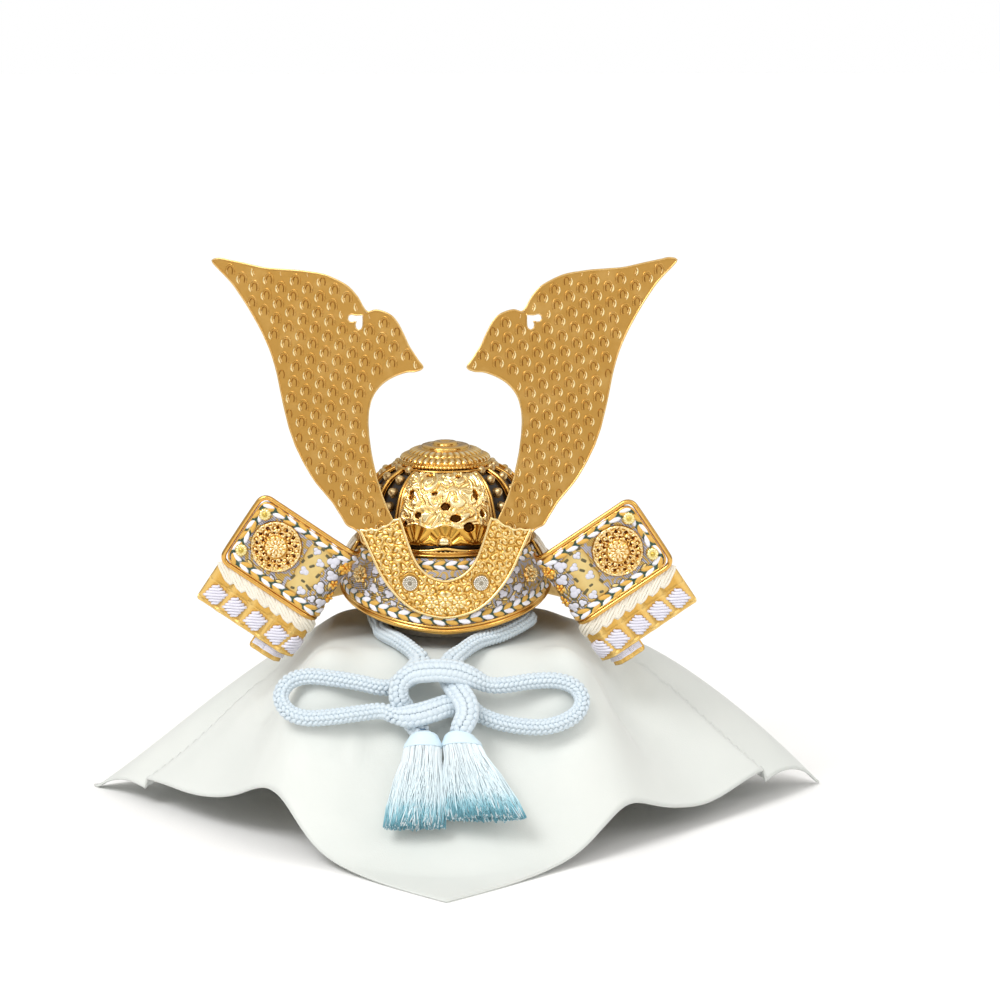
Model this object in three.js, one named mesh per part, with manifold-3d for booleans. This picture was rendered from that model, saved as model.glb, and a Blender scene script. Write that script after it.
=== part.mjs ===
// Kabuto samurai helmet, miniature, on a cloth-draped stand. Millimetres: X to the right as seen
// from the front, Y to the back, Z up; the origin is on the floor under the helmet.
import * as THREE from "three";
import { mergeVertices } from "three/addons/utils/BufferGeometryUtils.js";
import Module from "manifold-3d";

const wasm = await Module();
wasm.setup();

// ---- driving sizes ----
const GAP = 0.3;
const BOX_WIDTH = 108;
const BOX_DEPTH = 100;
const BOX_HEIGHT = 102.4;
const CLOTH_LIFT = 0.6;
const CLOTH_THICK = 1.4;
const CLOTH_CELLS = 34;
const CLOTH_SHOULDER_X = 64;
const CLOTH_SHOULDER_Y = 60;
const CLOTH_RIGHT = 218;
const CLOTH_LEFT = 205;
const CLOTH_FRONT = 196;
const CLOTH_BACK = 165;
const CLOTH_SIDE_SETBACK = 46;
const POST_RADIUS = 12;
const POST_PAD_RADIUS = 22;
const BOWL_WALL = 2;
const BOWL_SEGMENTS = 44;
const RIB_HALF_WIDTH = 1;
const RIB_HEIGHT = 1.8;
const RIB_GAP = 0.55;
const FRONT_PLATE_HALF_ANGLE = 33;
const FRONT_PLATE_THICK = 1.2;
const VISOR_THICK = 1.6;
const VISOR_HALF_ANGLE = 104;
const VISOR_RIM_RADIUS = 1.7;
const HOLDER_THICK = 1.6;
const HOLDER_CURVE_RADIUS = 120;
const HOLDER_LEAN = 0.13;
const HORN_THICK = 1.4;
const HORN_YAW = 17;
const HORN_LEAN_BACK = 7;
const PANEL_OUTER = -32.6;
const PANEL_FLAT_END = 22;
const PANEL_HEIGHT = 47;
const PANEL_TILT = 33.5;
const PANEL_YAW = -5;
const PANEL_THICK = 1.6;
const PANEL_ROLL_RADIUS = 8;
const PANEL_RIM_RADIUS = 1.4;
const MEDALLION_RADIUS = 14.5;
const BOSS_RADIUS = 3.4;
const LAME_COUNT = 4;
const LAME_PITCH = 10.5;
const LAME_HEIGHT = 14;
const LAME_STEP = 8.2;
const LAME_FLARE = 8.2;
const LAME_THICK = 1.2;
const CORD_RADIUS = 4.4;
const CORD_SIDES = 10;

const radians = THREE.MathUtils.degToRad;
const vec = (x, y, z) => new THREE.Vector3(x, y, z);

// ---- materials ----
function material(colour, roughness, metalness) {
  return new THREE.MeshStandardMaterial({ color: colour, roughness, metalness });
}
const BOARD = material("#d8d2c4", 0.8, 0);
const SILK = material("#eef3ef", 0.6, 0);
const LACQUER = material("#2a1d14", 0.3, 0);
const BRIGHT_GOLD = material("#d9a33e", 0.25, 1);
const SATIN_GOLD = material("#c49a4a", 0.4, 1);
const SILVERED = material("#cfc6b4", 0.35, 1);
const BROCADE = material("#b9b7be", 0.6, 0);
const CORD_SILK = material("#c3d9ee", 0.75, 0);
const TASSEL_SILK = material("#9fcfdd", 0.7, 0);

const helmet = new THREE.Group();
helmet.name = "kabuto_on_stand";

function piece(name, geometry, look, parent = helmet) {
  const mesh = new THREE.Mesh(geometry, look);
  mesh.name = name;
  parent.add(mesh);
  return mesh;
}

// ---- shape makers ----

// A bent sheet: surface(u, v) gives the middle of the sheet for u and v from 0 to 1.
function sheet(surface, uCells, vCells, thickness) {
  const across = vCells + 1;
  const layer = (uCells + 1) * across;
  const front = [];
  const back = [];
  const step = 1e-3;
  for (let i = 0; i <= uCells; i++) {
    for (let j = 0; j <= vCells; j++) {
      const u = i / uCells;
      const v = j / vCells;
      const u0 = Math.max(0, u - step);
      const u1 = Math.min(1, u + step);
      const v0 = Math.max(0, v - step);
      const v1 = Math.min(1, v + step);
      const alongU = surface(u1, v).sub(surface(u0, v));
      const alongV = surface(u, v1).sub(surface(u, v0));
      const normal = alongU.cross(alongV).normalize();
      const middle = surface(u, v);
      front.push(middle.clone().addScaledVector(normal, thickness / 2));
      back.push(middle.clone().addScaledVector(normal, -thickness / 2));
    }
  }
  const index = [];
  const quad = (a, b, c, d) => index.push(a, b, c, a, c, d);
  const at = (i, j) => i * across + j;
  for (let i = 0; i < uCells; i++) {
    for (let j = 0; j < vCells; j++) {
      quad(at(i, j), at(i + 1, j), at(i + 1, j + 1), at(i, j + 1));
      quad(layer + at(i, j), layer + at(i, j + 1), layer + at(i + 1, j + 1), layer + at(i + 1, j));
    }
  }
  const wall = (a, b) => quad(b, a, layer + a, layer + b);
  for (let i = 0; i < uCells; i++) {
    wall(at(i, 0), at(i + 1, 0));
    wall(at(i + 1, vCells), at(i, vCells));
  }
  for (let j = 0; j < vCells; j++) {
    wall(at(uCells, j), at(uCells, j + 1));
    wall(at(0, j + 1), at(0, j));
  }
  return indexed([...front, ...back], index);
}

function indexed(points, index) {
  const geometry = new THREE.BufferGeometry().setFromPoints(points);
  geometry.setIndex(index);
  geometry.computeVertexNormals();
  return geometry;
}

// A turned piece: the profile is [radius, height] pairs from the axis outwards and back to it.
function turned(profile, segments) {
  const points = profile.map(([radius, height]) => new THREE.Vector2(radius, height));
  return new THREE.LatheGeometry(points, segments).rotateX(Math.PI / 2);
}

function tube(points, radius, sides, steps) {
  const path = new THREE.CatmullRomCurve3(points, false, "centripetal");
  const ring = [];
  for (let k = 0; k < sides; k++) {
    const angle = (2 * Math.PI * k) / sides;
    ring.push(new THREE.Vector2(radius * Math.cos(angle), radius * Math.sin(angle)));
  }
  const options = { steps, bevelEnabled: false, extrudePath: path };
  return new THREE.ExtrudeGeometry(new THREE.Shape(ring), options);
}

// A solid lofted through oval sections: [centre, half width, half depth], turned to face the axis.
function loft(sections, sides, wide, deep) {
  const points = [];
  sections.forEach(([centre, halfWidth, halfDepth]) => {
    for (let k = 0; k < sides; k++) {
      const angle = (2 * Math.PI * k) / sides;
      const point = centre.clone();
      point.addScaledVector(wide, halfWidth * Math.cos(angle));
      point.addScaledVector(deep, halfDepth * Math.sin(angle));
      points.push(point);
    }
  });
  const last = sections.length - 1;
  const index = [];
  for (let row = 0; row < last; row++) {
    for (let k = 0; k < sides; k++) {
      const next = (k + 1) % sides;
      const a = row * sides + k;
      const b = row * sides + next;
      index.push(a, b, b + sides, a, b + sides, a + sides);
    }
  }
  const top = points.length;
  points.push(sections[0][0].clone(), sections[last][0].clone());
  for (let k = 0; k < sides; k++) {
    const next = (k + 1) % sides;
    index.push(top, next, k);
    index.push(top + 1, last * sides + k, last * sides + next);
  }
  return indexed(points, index);
}

function solidOf(geometry) {
  const bare = geometry.clone();
  bare.deleteAttribute("normal");
  bare.deleteAttribute("uv");
  const merged = mergeVertices(bare, 1e-4);
  const mesh = new wasm.Mesh({
    numProp: 3,
    vertProperties: new Float32Array(merged.attributes.position.array),
    triVerts: new Uint32Array(merged.index.array),
  });
  return new wasm.Manifold(mesh);
}

function geometryOf(solid) {
  const mesh = solid.getMesh();
  const positions = new THREE.BufferAttribute(new Float32Array(mesh.vertProperties), 3);
  const geometry = new THREE.BufferGeometry().setAttribute("position", positions);
  geometry.setIndex(new THREE.BufferAttribute(new Uint32Array(mesh.triVerts), 1));
  geometry.computeVertexNormals();
  return geometry;
}

function joined(geometries) {
  return geometryOf(geometries.map(solidOf).reduce((whole, next) => whole.add(next)));
}

// ---- stand: a plain covered box, and a padded post that carries the bowl ----
const box = new THREE.BoxGeometry(BOX_WIDTH, BOX_DEPTH, BOX_HEIGHT);
piece("stand_box", box.translate(0, 0, BOX_HEIGHT / 2), BOARD);
const CLOTH_TOP = BOX_HEIGHT + CLOTH_LIFT + GAP + CLOTH_THICK;
const POST_BASE = CLOTH_TOP + GAP;

// ---- display cloth: a square of silk laid cornerwise over the box ----
const smooth = (low, high, t) => THREE.MathUtils.smoothstep(t, low, high);

// How far the cloth has fallen, 1 on the box and 0 on the floor, at a plan point.
function clothShare(x, y) {
  const radius = Math.hypot(x, y);
  if (radius < 1) {
    return 1;
  }
  const cos = x / radius;
  const sin = y / radius;
  const edge = ((cos / CLOTH_SHOULDER_X) ** 4 + (sin / CLOTH_SHOULDER_Y) ** 4) ** -0.25;
  const offCorner = THREE.MathUtils.radToDeg(Math.atan2(y - 0.2 * Math.abs(x), Math.abs(x)));
  const side = Math.exp(-((offCorner / 19) ** 2));
  const sideReach = x > 0 ? CLOTH_RIGHT + 4 : CLOTH_LEFT + 2;
  const frontReach = y < 0 ? 172 + 24 * sin ** 6 : 138;
  const reach = THREE.MathUtils.lerp(frontReach, sideReach, side);
  const t = (radius - edge) / (reach - edge);
  const frontWeight = Math.max(0, -sin) ** 3;
  const plain = 1 - smooth(-0.02, 0.94, t);
  const fall = THREE.MathUtils.lerp(plain, 1 - smooth(-0.04, 0.7, t), frontWeight);
  const ridge = 1 - THREE.MathUtils.clamp(t, 0, 1) ** (x > 0 ? 1.7 : 1.2);
  return Math.max(0, THREE.MathUtils.lerp(fall, ridge, side));
}

// The cloth stands fuller over the box's two front corners, where the cord's loops rest.
function shoulder(x, y) {
  if (y >= 0) {
    return 0;
  }
  const radius = Math.hypot(x, y);
  const turn = THREE.MathUtils.radToDeg(Math.atan2(-y, Math.abs(x)));
  const near = smooth(72, 104, radius) * (1 - smooth(112, 158, radius));
  return 21 * Math.exp(-(((turn - 46) / 12) ** 2)) * near;
}

function clothHeight(x, y) {
  const radius = Math.hypot(x, y);
  const angle = Math.atan2(y, x);
  const share = clothShare(x, y);
  const loose = 4 * share * (1 - share);
  const folds = 3 * Math.cos(6 * angle + 0.5) + 1.6 * Math.cos(11 * angle + radius / 40);
  const lie = GAP + CLOTH_THICK / 2 + (BOX_HEIGHT + CLOTH_LIFT) * share;
  return lie - loose * Math.max(0, folds) + shoulder(x, y);
}

function clothPoint(u, v) {
  const s = u - v;
  const t = u + v - 1;
  const x = s * (s > 0 ? CLOTH_RIGHT : CLOTH_LEFT);
  const y = t * (t < 0 ? CLOTH_FRONT : CLOTH_BACK) + CLOTH_SIDE_SETBACK * s * s;
  return vec(x, y, clothHeight(x, y));
}
piece("display_cloth", sheet(clothPoint, CLOTH_CELLS, CLOTH_CELLS, CLOTH_THICK), SILK);

// ---- bowl ----
const BOWL_OUTSIDE = [
  // radius, height
  [45, 150],
  [45.6, 160],
  [44.8, 170],
  [42.8, 179],
  [39.8, 186.5],
  [34.5, 192.8],
  [26, 197.4],
  [15, 200.2],
  [0, 201.6],
];

function bowlRadius(height) {
  for (let k = 1; k < BOWL_OUTSIDE.length; k++) {
    const [r0, z0] = BOWL_OUTSIDE[k - 1];
    const [r1, z1] = BOWL_OUTSIDE[k];
    if (height <= z1) {
      return r0 + ((r1 - r0) * Math.max(0, height - z0)) / (z1 - z0);
    }
  }
  return 0;
}
const BOWL_FOOT = 150;
const BOWL_RISE = 51.6;
const bowlInside = BOWL_OUTSIDE.map(([radius, height]) => {
  const rise = Math.max(0, (height - BOWL_FOOT) / BOWL_RISE);
  return [Math.max(0, radius - BOWL_WALL * (1 - 0.3 * rise)), height - BOWL_WALL * rise];
});
bowlInside[bowlInside.length - 1][0] = 0;
piece("bowl", turned([...bowlInside].reverse().concat(BOWL_OUTSIDE), BOWL_SEGMENTS), LACQUER);

const postTop = bowlInside[bowlInside.length - 1][1] - GAP;
const POST_PROFILE = [
  // radius, height
  [0, POST_BASE],
  [30, POST_BASE],
  [30, POST_BASE + 4],
  [POST_RADIUS, POST_BASE + 7],
  [POST_RADIUS, postTop - 16],
  [POST_PAD_RADIUS, postTop - 10],
  [POST_PAD_RADIUS - 1, postTop - 4.5],
  [13, postTop - 1.8],
  [0, postTop],
];
piece("helmet_post", turned(POST_PROFILE, 24), BOARD);

// ---- ribs soldered to a top ring and a bottom ring ----
const RIB_ANGLES = [36, 56.6, 77.1, 97.7, 118.3, 138.9, 159.4];
const RIB_HEIGHTS = [158.4, 166, 174, 181, 186.5, 191, 194.6, 197, 198.2];

function ribAt(angle) {
  const rows = RIB_HEIGHTS.map((height) => {
    const radius = bowlRadius(height);
    const side = vec(Math.cos(angle), Math.sin(angle), 0);
    const out = vec(Math.sin(angle), -Math.cos(angle), 0);
    const centre = out.clone().multiplyScalar(radius + RIB_GAP + RIB_HEIGHT / 2);
    centre.z = height + GAP;
    return { centre, side, out };
  });
  const points = [];
  rows.forEach(({ centre, side, out }) => {
    [[-1, -1], [1, -1], [1, 1], [-1, 1]].forEach(([a, b]) => {
      const point = centre.clone().addScaledVector(side, a * RIB_HALF_WIDTH);
      points.push(point.addScaledVector(out, (b * RIB_HEIGHT) / 2));
    });
  });
  const index = [];
  const last = rows.length - 1;
  for (let row = 0; row < last; row++) {
    for (let k = 0; k < 4; k++) {
      const a = row * 4 + k;
      const b = row * 4 + ((k + 1) % 4);
      index.push(a, b + 4, b, a, a + 4, b + 4);
    }
  }
  index.push(0, 1, 2, 0, 2, 3);
  index.push(last * 4, last * 4 + 2, last * 4 + 1, last * 4, last * 4 + 3, last * 4 + 2);
  return indexed(points, index);
}
const turnedRing = (profile) => turned([...profile, profile[0]], BOWL_SEGMENTS);
const ribParts = [
  turnedRing([[46.3, 157.6], [48, 157.6], [47.8, 159.4], [46.3, 159.4]]),
  turnedRing([[27.2, 197.7], [29.6, 197.7], [28.6, 199.2], [27.2, 199.2]]),
  ...RIB_ANGLES.flatMap((angle) => [ribAt(radians(angle)), ribAt(radians(-angle))]),
  ribAt(Math.PI),
];
piece("bowl_ribs", joined(ribParts), BRIGHT_GOLD);

const BAND = [[45.4, 149.4], [46.3, 149.4], [46.6, 154], [48.6, 154.6], [48.4, 157.2], [45.9, 157.2]];
piece("waist_band", turnedRing(BAND), BRIGHT_GOLD);

// ---- pierced front plate, lying on the bowl between the two front ribs ----
function frontPlatePoint(u, v) {
  const angle = radians(FRONT_PLATE_HALF_ANGLE) * (2 * u - 1);
  const height = THREE.MathUtils.lerp(160, 195.6, v);
  const radius = bowlRadius(height) + FRONT_PLATE_THICK / 2 + 0.9;
  return vec(radius * Math.sin(angle), -radius * Math.cos(angle), height + 0.4);
}
piece("front_plate", sheet(frontPlatePoint, 12, 9, FRONT_PLATE_THICK), SATIN_GOLD);

// ---- crown fitting ----
const FINIAL = [
  // radius, height
  [0, 202.4],
  [12, 201.4],
  [20, 199.8],
  [24.6, 198.6],
  [25.8, 199.6],
  [26, 201],
  [24.8, 202.2],
  [24.4, 203.6],
  [20.4, 205.4],
  [15, 206.4],
  [13.8, 207],
  [13.4, 208.4],
  [10, 209],
  [7.4, 209.4],
  [7, 210.4],
  [5.4, 211],
  [0, 210.8],
];
piece("finial", turned(FINIAL, 36), BRIGHT_GOLD);

// ---- visor, a flared band round the front half of the bowl ----
function visorEdge(angle) {
  const drop = 15.5 * Math.max(0, 1 - Math.cos(angle)) ** 0.75;
  return vec(58 * Math.sin(angle), -62 * Math.cos(angle), 115.6 + drop);
}

function visorPoint(u, v) {
  const angle = radians(VISOR_HALF_ANGLE) * (2 * u - 1);
  const top = vec(48.4 * Math.sin(angle), -49.6 * Math.cos(angle), 153.4);
  const low = visorEdge(angle);
  low.z += VISOR_RIM_RADIUS + GAP + 0.3;
  const point = top.lerp(low, 1 - v);
  const bulge = 1.6 * Math.sin(Math.PI * v);
  return point.add(vec(bulge * Math.sin(angle), -bulge * Math.cos(angle), 0));
}
piece("visor", sheet(visorPoint, 32, 3, VISOR_THICK), BROCADE);
const rimPath = [];
for (let k = 0; k <= 24; k++) {
  rimPath.push(visorEdge(radians(VISOR_HALF_ANGLE) * (k / 12 - 1)));
}
piece("visor_rim", tube(rimPath, VISOR_RIM_RADIUS, 8, 40), BRIGHT_GOLD);

// ---- crest holder: a U plate that stands off the visor on two short feet ----
const holderFace = (x, z) => -62.6 + (z - 124) * HOLDER_LEAN + x ** 2 / (2 * HOLDER_CURVE_RADIUS);
const HOLDER_ROWS = [
  // outer x, outer z, inner x, inner z
  [0, 123.2, 0, 143],
  [7.8, 124.2, 3.4, 143.5],
  [16, 126.8, 9, 145.7],
  [23, 131.2, 14, 150],
  [29.7, 138, 17.4, 155.2],
  [35.7, 146.4, 19.8, 161],
  [40.4, 156, 22.5, 168.8],
  [44.2, 164.6, 24.2, 174],
  [47, 169.6, 25.4, 177.4],
];

function holderPoint(u, v) {
  const place = Math.abs(2 * u - 1) * (HOLDER_ROWS.length - 1);
  const row = Math.min(HOLDER_ROWS.length - 2, Math.floor(place));
  const share = place - row;
  const mix = (column) =>
    THREE.MathUtils.lerp(HOLDER_ROWS[row][column], HOLDER_ROWS[row + 1][column], share);
  const side = u < 0.5 ? -1 : 1;
  const x = side * THREE.MathUtils.lerp(mix(0), mix(2), v);
  const z = THREE.MathUtils.lerp(mix(1), mix(3), v);
  const armTop = Math.max(0, Math.abs(2 * u - 1) - 0.9) * 10;
  const dip = 2.6 * armTop * Math.sin(Math.PI * v) ** 2;
  return vec(x, holderFace(x, z), z - dip);
}
const footAt = (x) => new THREE.BoxGeometry(5, 4.8, 5).translate(x, -56.7, 143.4);
const holderPlate = sheet(holderPoint, 32, 4, HOLDER_THICK);
piece("crest_holder", joined([holderPlate, footAt(-19.4), footAt(19.4)]), SATIN_GOLD);

// A low turned disc whose axis points to the front of its group.
function disc(radius, thickness, segments) {
  const profile = [
    [0, 0],
    [radius, 0],
    [radius, 0.45 * thickness],
    [0.86 * radius, 0.62 * thickness],
    [0.42 * radius, 0.66 * thickness],
    [0.34 * radius, thickness],
    [0, thickness],
  ];
  return turned(profile, segments).rotateX(Math.PI / 2);
}
[["left", -1], ["right", 1]].forEach(([name, side]) => {
  const rivet = piece("rosette_rivet_" + name, disc(4.2, 2.4, 14), SILVERED);
  const x = side * 19.4;
  rivet.position.set(x, holderFace(x, 142.4) - HOLDER_THICK / 2 - GAP - 0.6, 142.4);
  rivet.rotation.z = Math.atan(x / HOLDER_CURVE_RADIUS);
});

// ---- horns: two flat sheets that stand behind the holder's arms ----
const HORN_OUTLINE = [
  // across, up
  [-101.4, 142.8],
  [-98.4, 144.2],
  [-84.4, 142],
  [-70, 139.4],
  [-50.4, 138.8],
  [-36.6, 137.4],
  [-27.8, 134.4],
  [-21.2, 130.8],
  [-16.2, 126],
  [-12.8, 120.6],
  [-11, 117],
  [-6.4, 118.8],
  [-1.8, 118.4],
  [3.4, 116.4],
  [7.6, 112.2],
  [10.8, 106.8],
  [14.4, 99.8],
  [18.6, 94],
  [23, 88.2],
  [20.6, 86.4],
  [12.8, 85.6],
  [6.4, 83],
  [0.8, 79.4],
  [-3.8, 74.8],
  [-6.4, 69.4],
  [-7.6, 63],
  [-7.8, 57],
  [-7, 49.4],
  [-5.6, 41.2],
  [-3.6, 33.2],
  [-1.2, 25],
  [2.8, 14.6],
  [8.4, 3.4],
  [7, -8],
  [-8, -11],
  [-11, -2.6],
  [-17, -1.2],
  [-26.2, 11.6],
  [-37.6, 23.6],
  [-43.6, 32.4],
  [-49, 42],
  [-53, 51.6],
  [-56.4, 62.8],
  [-59, 73],
  [-61.2, 82],
  [-64.2, 91],
  [-67.6, 98.6],
  [-72, 106.6],
  [-78, 116],
  [-83.8, 124],
  [-89.2, 130.8],
  [-96, 137.2],
  [-100.2, 140.8],
];
const HEART_HOLE = [
  // across, up
  [-12.4, 116],
  [-16.4, 115.6],
  [-19.2, 116.2],
  [-21, 115.2],
  [-21.4, 113.2],
  [-20.2, 111.6],
  [-18.2, 111.4],
  [-16.4, 112.2],
  [-17, 110.2],
  [-16.4, 108.2],
  [-14.8, 107.2],
  [-13, 107.8],
  [-12.2, 109.6],
  [-12.2, 112.4],
];

function hornGeometry() {
  const outline = new THREE.Shape(HORN_OUTLINE.map(([x, y]) => new THREE.Vector2(x, y)));
  outline.holes.push(new THREE.Path(HEART_HOLE.map(([x, y]) => new THREE.Vector2(x, y))));
  const plate = new THREE.ExtrudeGeometry(outline, { depth: HORN_THICK, bevelEnabled: false });
  return plate.translate(0, 0, -HORN_THICK / 2).rotateX(Math.PI / 2);
}

// ---- turn-backs, their trim and the laced lame ends, built for one side and mirrored ----
// The turn-back's plan: flat, then rolled to the back at its inner end.
function panelBend(along) {
  if (along <= PANEL_FLAT_END) {
    return [along, 0];
  }
  const arc = (along - PANEL_FLAT_END) / PANEL_ROLL_RADIUS;
  if (arc <= Math.PI / 2) {
    return [PANEL_FLAT_END + PANEL_ROLL_RADIUS * Math.sin(arc), PANEL_ROLL_RADIUS * (1 - Math.cos(arc))];
  }
  const past = (arc - Math.PI / 2) * PANEL_ROLL_RADIUS;
  return [PANEL_FLAT_END + PANEL_ROLL_RADIUS, PANEL_ROLL_RADIUS + past];
}

// A sheet that follows the bend, from one length to another, with its outer corners rounded.
function bentSheet(from, to, low, high, corner, thickness, cells) {
  const surface = (u, v) => {
    const along = THREE.MathUtils.lerp(from, to, u);
    const inset = Math.max(0, corner - (along - from));
    const trim = corner - Math.sqrt(Math.max(0, corner ** 2 - inset ** 2));
    const [x, y] = panelBend(along);
    return vec(x, y, THREE.MathUtils.lerp(low + trim, high - trim, v));
  };
  return sheet(surface, cells, 2, thickness);
}

function rimTube(from, to, half, corner, radius) {
  const points = [];
  const add = (along, height) => {
    const [x, y] = panelBend(along);
    points.push(vec(x, y, height));
  };
  const run = [to, to - 8, to - 14, to - 20, to - 26, 10, 0, -10, from + corner + 4];
  run.forEach((along) => add(along, half));
  for (let k = 0; k <= 4; k++) {
    const turn = radians(22.5 * k);
    add(from + corner * (1 - Math.sin(turn)), half - corner * (1 - Math.cos(turn)));
  }
  for (let k = 0; k <= 4; k++) {
    const turn = radians(22.5 * k);
    add(from + corner * (1 - Math.cos(turn)), -half + corner * (1 - Math.sin(turn)));
  }
  [...run].reverse().forEach((along) => add(along, -half));
  return tube(points, radius, 8, 56);
}

const PANEL_END = PANEL_FLAT_END + (PANEL_ROLL_RADIUS * Math.PI) / 2 + 8;
const RIM_CLEAR = 2 * PANEL_RIM_RADIUS + GAP;

// Places of the side pieces, for the left side.
const HORN_FOOT = vec(-37, -48.4, 172);
const TURNBACK_PLACE = vec(-87.7, -45, 152.7);
// The helmet's left turn-back sits a little higher and further in than the right one.
const TURNBACK_IN = 0.9;
const TURNBACK_UP = 1.4;
const MEDALLION_THICK = 2.6;
const BOSS_THICK = 3;
const MEDALLION_PLACE = [-8.7, 1.5];
const BOSS_UPPER_PLACE = [-23.7, 13.3];
const BOSS_LOWER_PLACE = [-23.7, -10.9];
const SIDE_LAME_THICK = 1.6;
const LOWER_LAME_BEHIND = 3;
const UNDER_LAME_BEHIND = 5.2;
const UNDER_LAME_OUT = 3.5;

function buildSide(name, side) {
  const flank = new THREE.Group();
  flank.scale.x = side;
  helmet.add(flank);

  const hornBase = new THREE.Group();
  hornBase.position.copy(HORN_FOOT);
  hornBase.rotation.z = radians(-HORN_YAW);
  flank.add(hornBase);
  const horn = piece("horn_" + name, hornGeometry(), SATIN_GOLD, hornBase);
  horn.rotation.x = radians(-HORN_LEAN_BACK);

  const turn = new THREE.Group();
  turn.position.copy(TURNBACK_PLACE).add(vec(side * TURNBACK_IN, 0, side * TURNBACK_UP));
  turn.rotation.z = radians(PANEL_YAW);
  flank.add(turn);
  const face = new THREE.Group();
  face.rotation.y = radians(PANEL_TILT);
  turn.add(face);
  const halfHeight = PANEL_HEIGHT / 2;
  const clear = halfHeight - RIM_CLEAR;
  const panel = bentSheet(PANEL_OUTER + RIM_CLEAR, PANEL_END, -clear, clear, 5, PANEL_THICK, 26);
  piece("turnback_" + name, panel, BROCADE, face);
  const rimLine = PANEL_OUTER + PANEL_RIM_RADIUS;
  const rim = rimTube(rimLine, PANEL_END - 1, halfHeight - PANEL_RIM_RADIUS, 7, PANEL_RIM_RADIUS);
  piece("turnback_rim_" + name, rim, BRIGHT_GOLD, face);

  const onFace = (title, geometry, [x, z]) => {
    piece(title + name, geometry, BRIGHT_GOLD, face).position.set(x, -PANEL_THICK / 2 - GAP, z);
  };
  onFace("medallion_", disc(MEDALLION_RADIUS, MEDALLION_THICK, 24), MEDALLION_PLACE);
  onFace("boss_upper_", disc(BOSS_RADIUS, BOSS_THICK, 12), BOSS_UPPER_PLACE);
  onFace("boss_lower_", disc(BOSS_RADIUS, BOSS_THICK, 12), BOSS_LOWER_PLACE);

  const behind = new THREE.Group();
  behind.position.y = LOWER_LAME_BEHIND;
  face.add(behind);
  const lower = bentSheet(-31, PANEL_END - 6, -48.2, -24.2, 2, SIDE_LAME_THICK, 24);
  piece("lower_lame_" + name, lower, SATIN_GOLD, behind);
  const deeper = new THREE.Group();
  deeper.position.set(-UNDER_LAME_OUT, UNDER_LAME_BEHIND, 0);
  face.add(deeper);
  const under = bentSheet(11.5, PANEL_END - 10, -55.4, -32, 2, SIDE_LAME_THICK, 14);
  piece("under_lame_" + name, under, SATIN_GOLD, deeper);
}
buildSide("left", 1);
buildSide("right", -1);

// ---- neck guard: flared bands round the back, each hung outside the one above ----
const LAME_TOP = 157;
const LAME_INNER = 50;
const LAME_FORWARD = 14;
for (let k = 0; k < LAME_COUNT; k++) {
  const top = LAME_TOP - LAME_PITCH * k;
  const inner = LAME_INNER + LAME_STEP * k;
  const start = Math.acos(LAME_FORWARD / (inner + LAME_FLARE));
  const lamePoint = (u, v) => {
    const angle = THREE.MathUtils.lerp(start, 2 * Math.PI - start, u);
    const radius = inner + LAME_FLARE * (1 - v);
    return vec(radius * Math.sin(angle), -radius * Math.cos(angle), top - LAME_HEIGHT * (1 - v));
  };
  piece("neck_lame_" + (k + 1), sheet(lamePoint, 26, 1, LAME_THICK), SATIN_GOLD);
}

// ---- chin cord: one length of round braid tied in a bow, its middle passing behind the post ----
const CORD_LIE = CLOTH_TOP + CORD_RADIUS + GAP;
const CORD_MIDDLE = [
  [-37, -20, CORD_LIE],
  [-39, -4, CORD_LIE],
  [-40, 14, CORD_LIE],
  [-33, 32, CORD_LIE],
  [-18, 43, CORD_LIE],
  [0, 46, CORD_LIE],
  [18, 43, CORD_LIE],
  [33, 32, CORD_LIE],
  [42, 14, CORD_LIE],
  [46, -4, CORD_LIE + 1],
  [47, -14, CORD_LIE + 3],
];
const LEAD_LEFT = [
  [-36.9, -21, CORD_LIE],
  [-36, -32, CORD_LIE],
  [-32, -44, CORD_LIE],
  [-26, -58, CORD_LIE],
  [-18, -71, 106.4],
  [-13.4, -81.2, 102.8],
];
const LEAD_RIGHT = [
  [47, -15.6, CORD_LIE + 3.4],
  [45, -26, 113.6],
  [40, -35, 112.6],
  [30, -47.5, 110.6],
  [17.4, -61, 109.6],
  [9, -73, 106.6],
  [3.4, -81, 104],
];
const LOOP_LEFT = [
  [-33.4, -89.4, 90.2],
  [-46, -87, 92.4],
  [-60, -84.4, 94.2],
  [-77, -81, 94.8],
  [-86.2, -81.2, 91.4],
  [-90.2, -84.2, 84.4],
  [-86.2, -89.2, 77.4],
  [-77, -92.4, 74.4],
  [-62, -94.4, 75.4],
  [-48, -96.2, 77.6],
  [-34, -99, 79.6],
];
const LOOP_RIGHT = [
  [25, -98, 74.6],
  [40.2, -98.2, 70.8],
  [54, -97.6, 70.2],
  [64.4, -95.4, 72.6],
  [72.2, -91.8, 77.2],
  [74.4, -87.8, 83.4],
  [70.4, -85.2, 89.4],
  [62, -84.4, 92.6],
  [48, -85.6, 93],
  [34.4, -89, 91.8],
  [23.4, -91.4, 92.2],
];
const cord = (points, steps) =>
  tube(points.map(([x, y, z]) => vec(x, y, z)), CORD_RADIUS, CORD_SIDES, steps);
piece("cord_middle", cord(CORD_MIDDLE, 18), CORD_SILK);
piece("cord_lead_left", cord(LEAD_LEFT, 8), CORD_SILK);
piece("cord_lead_right", cord(LEAD_RIGHT, 9), CORD_SILK);
piece("cord_loop_left", cord(LOOP_LEFT, 18), CORD_SILK);
piece("cord_loop_right", cord(LOOP_RIGHT, 18), CORD_SILK);

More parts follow.
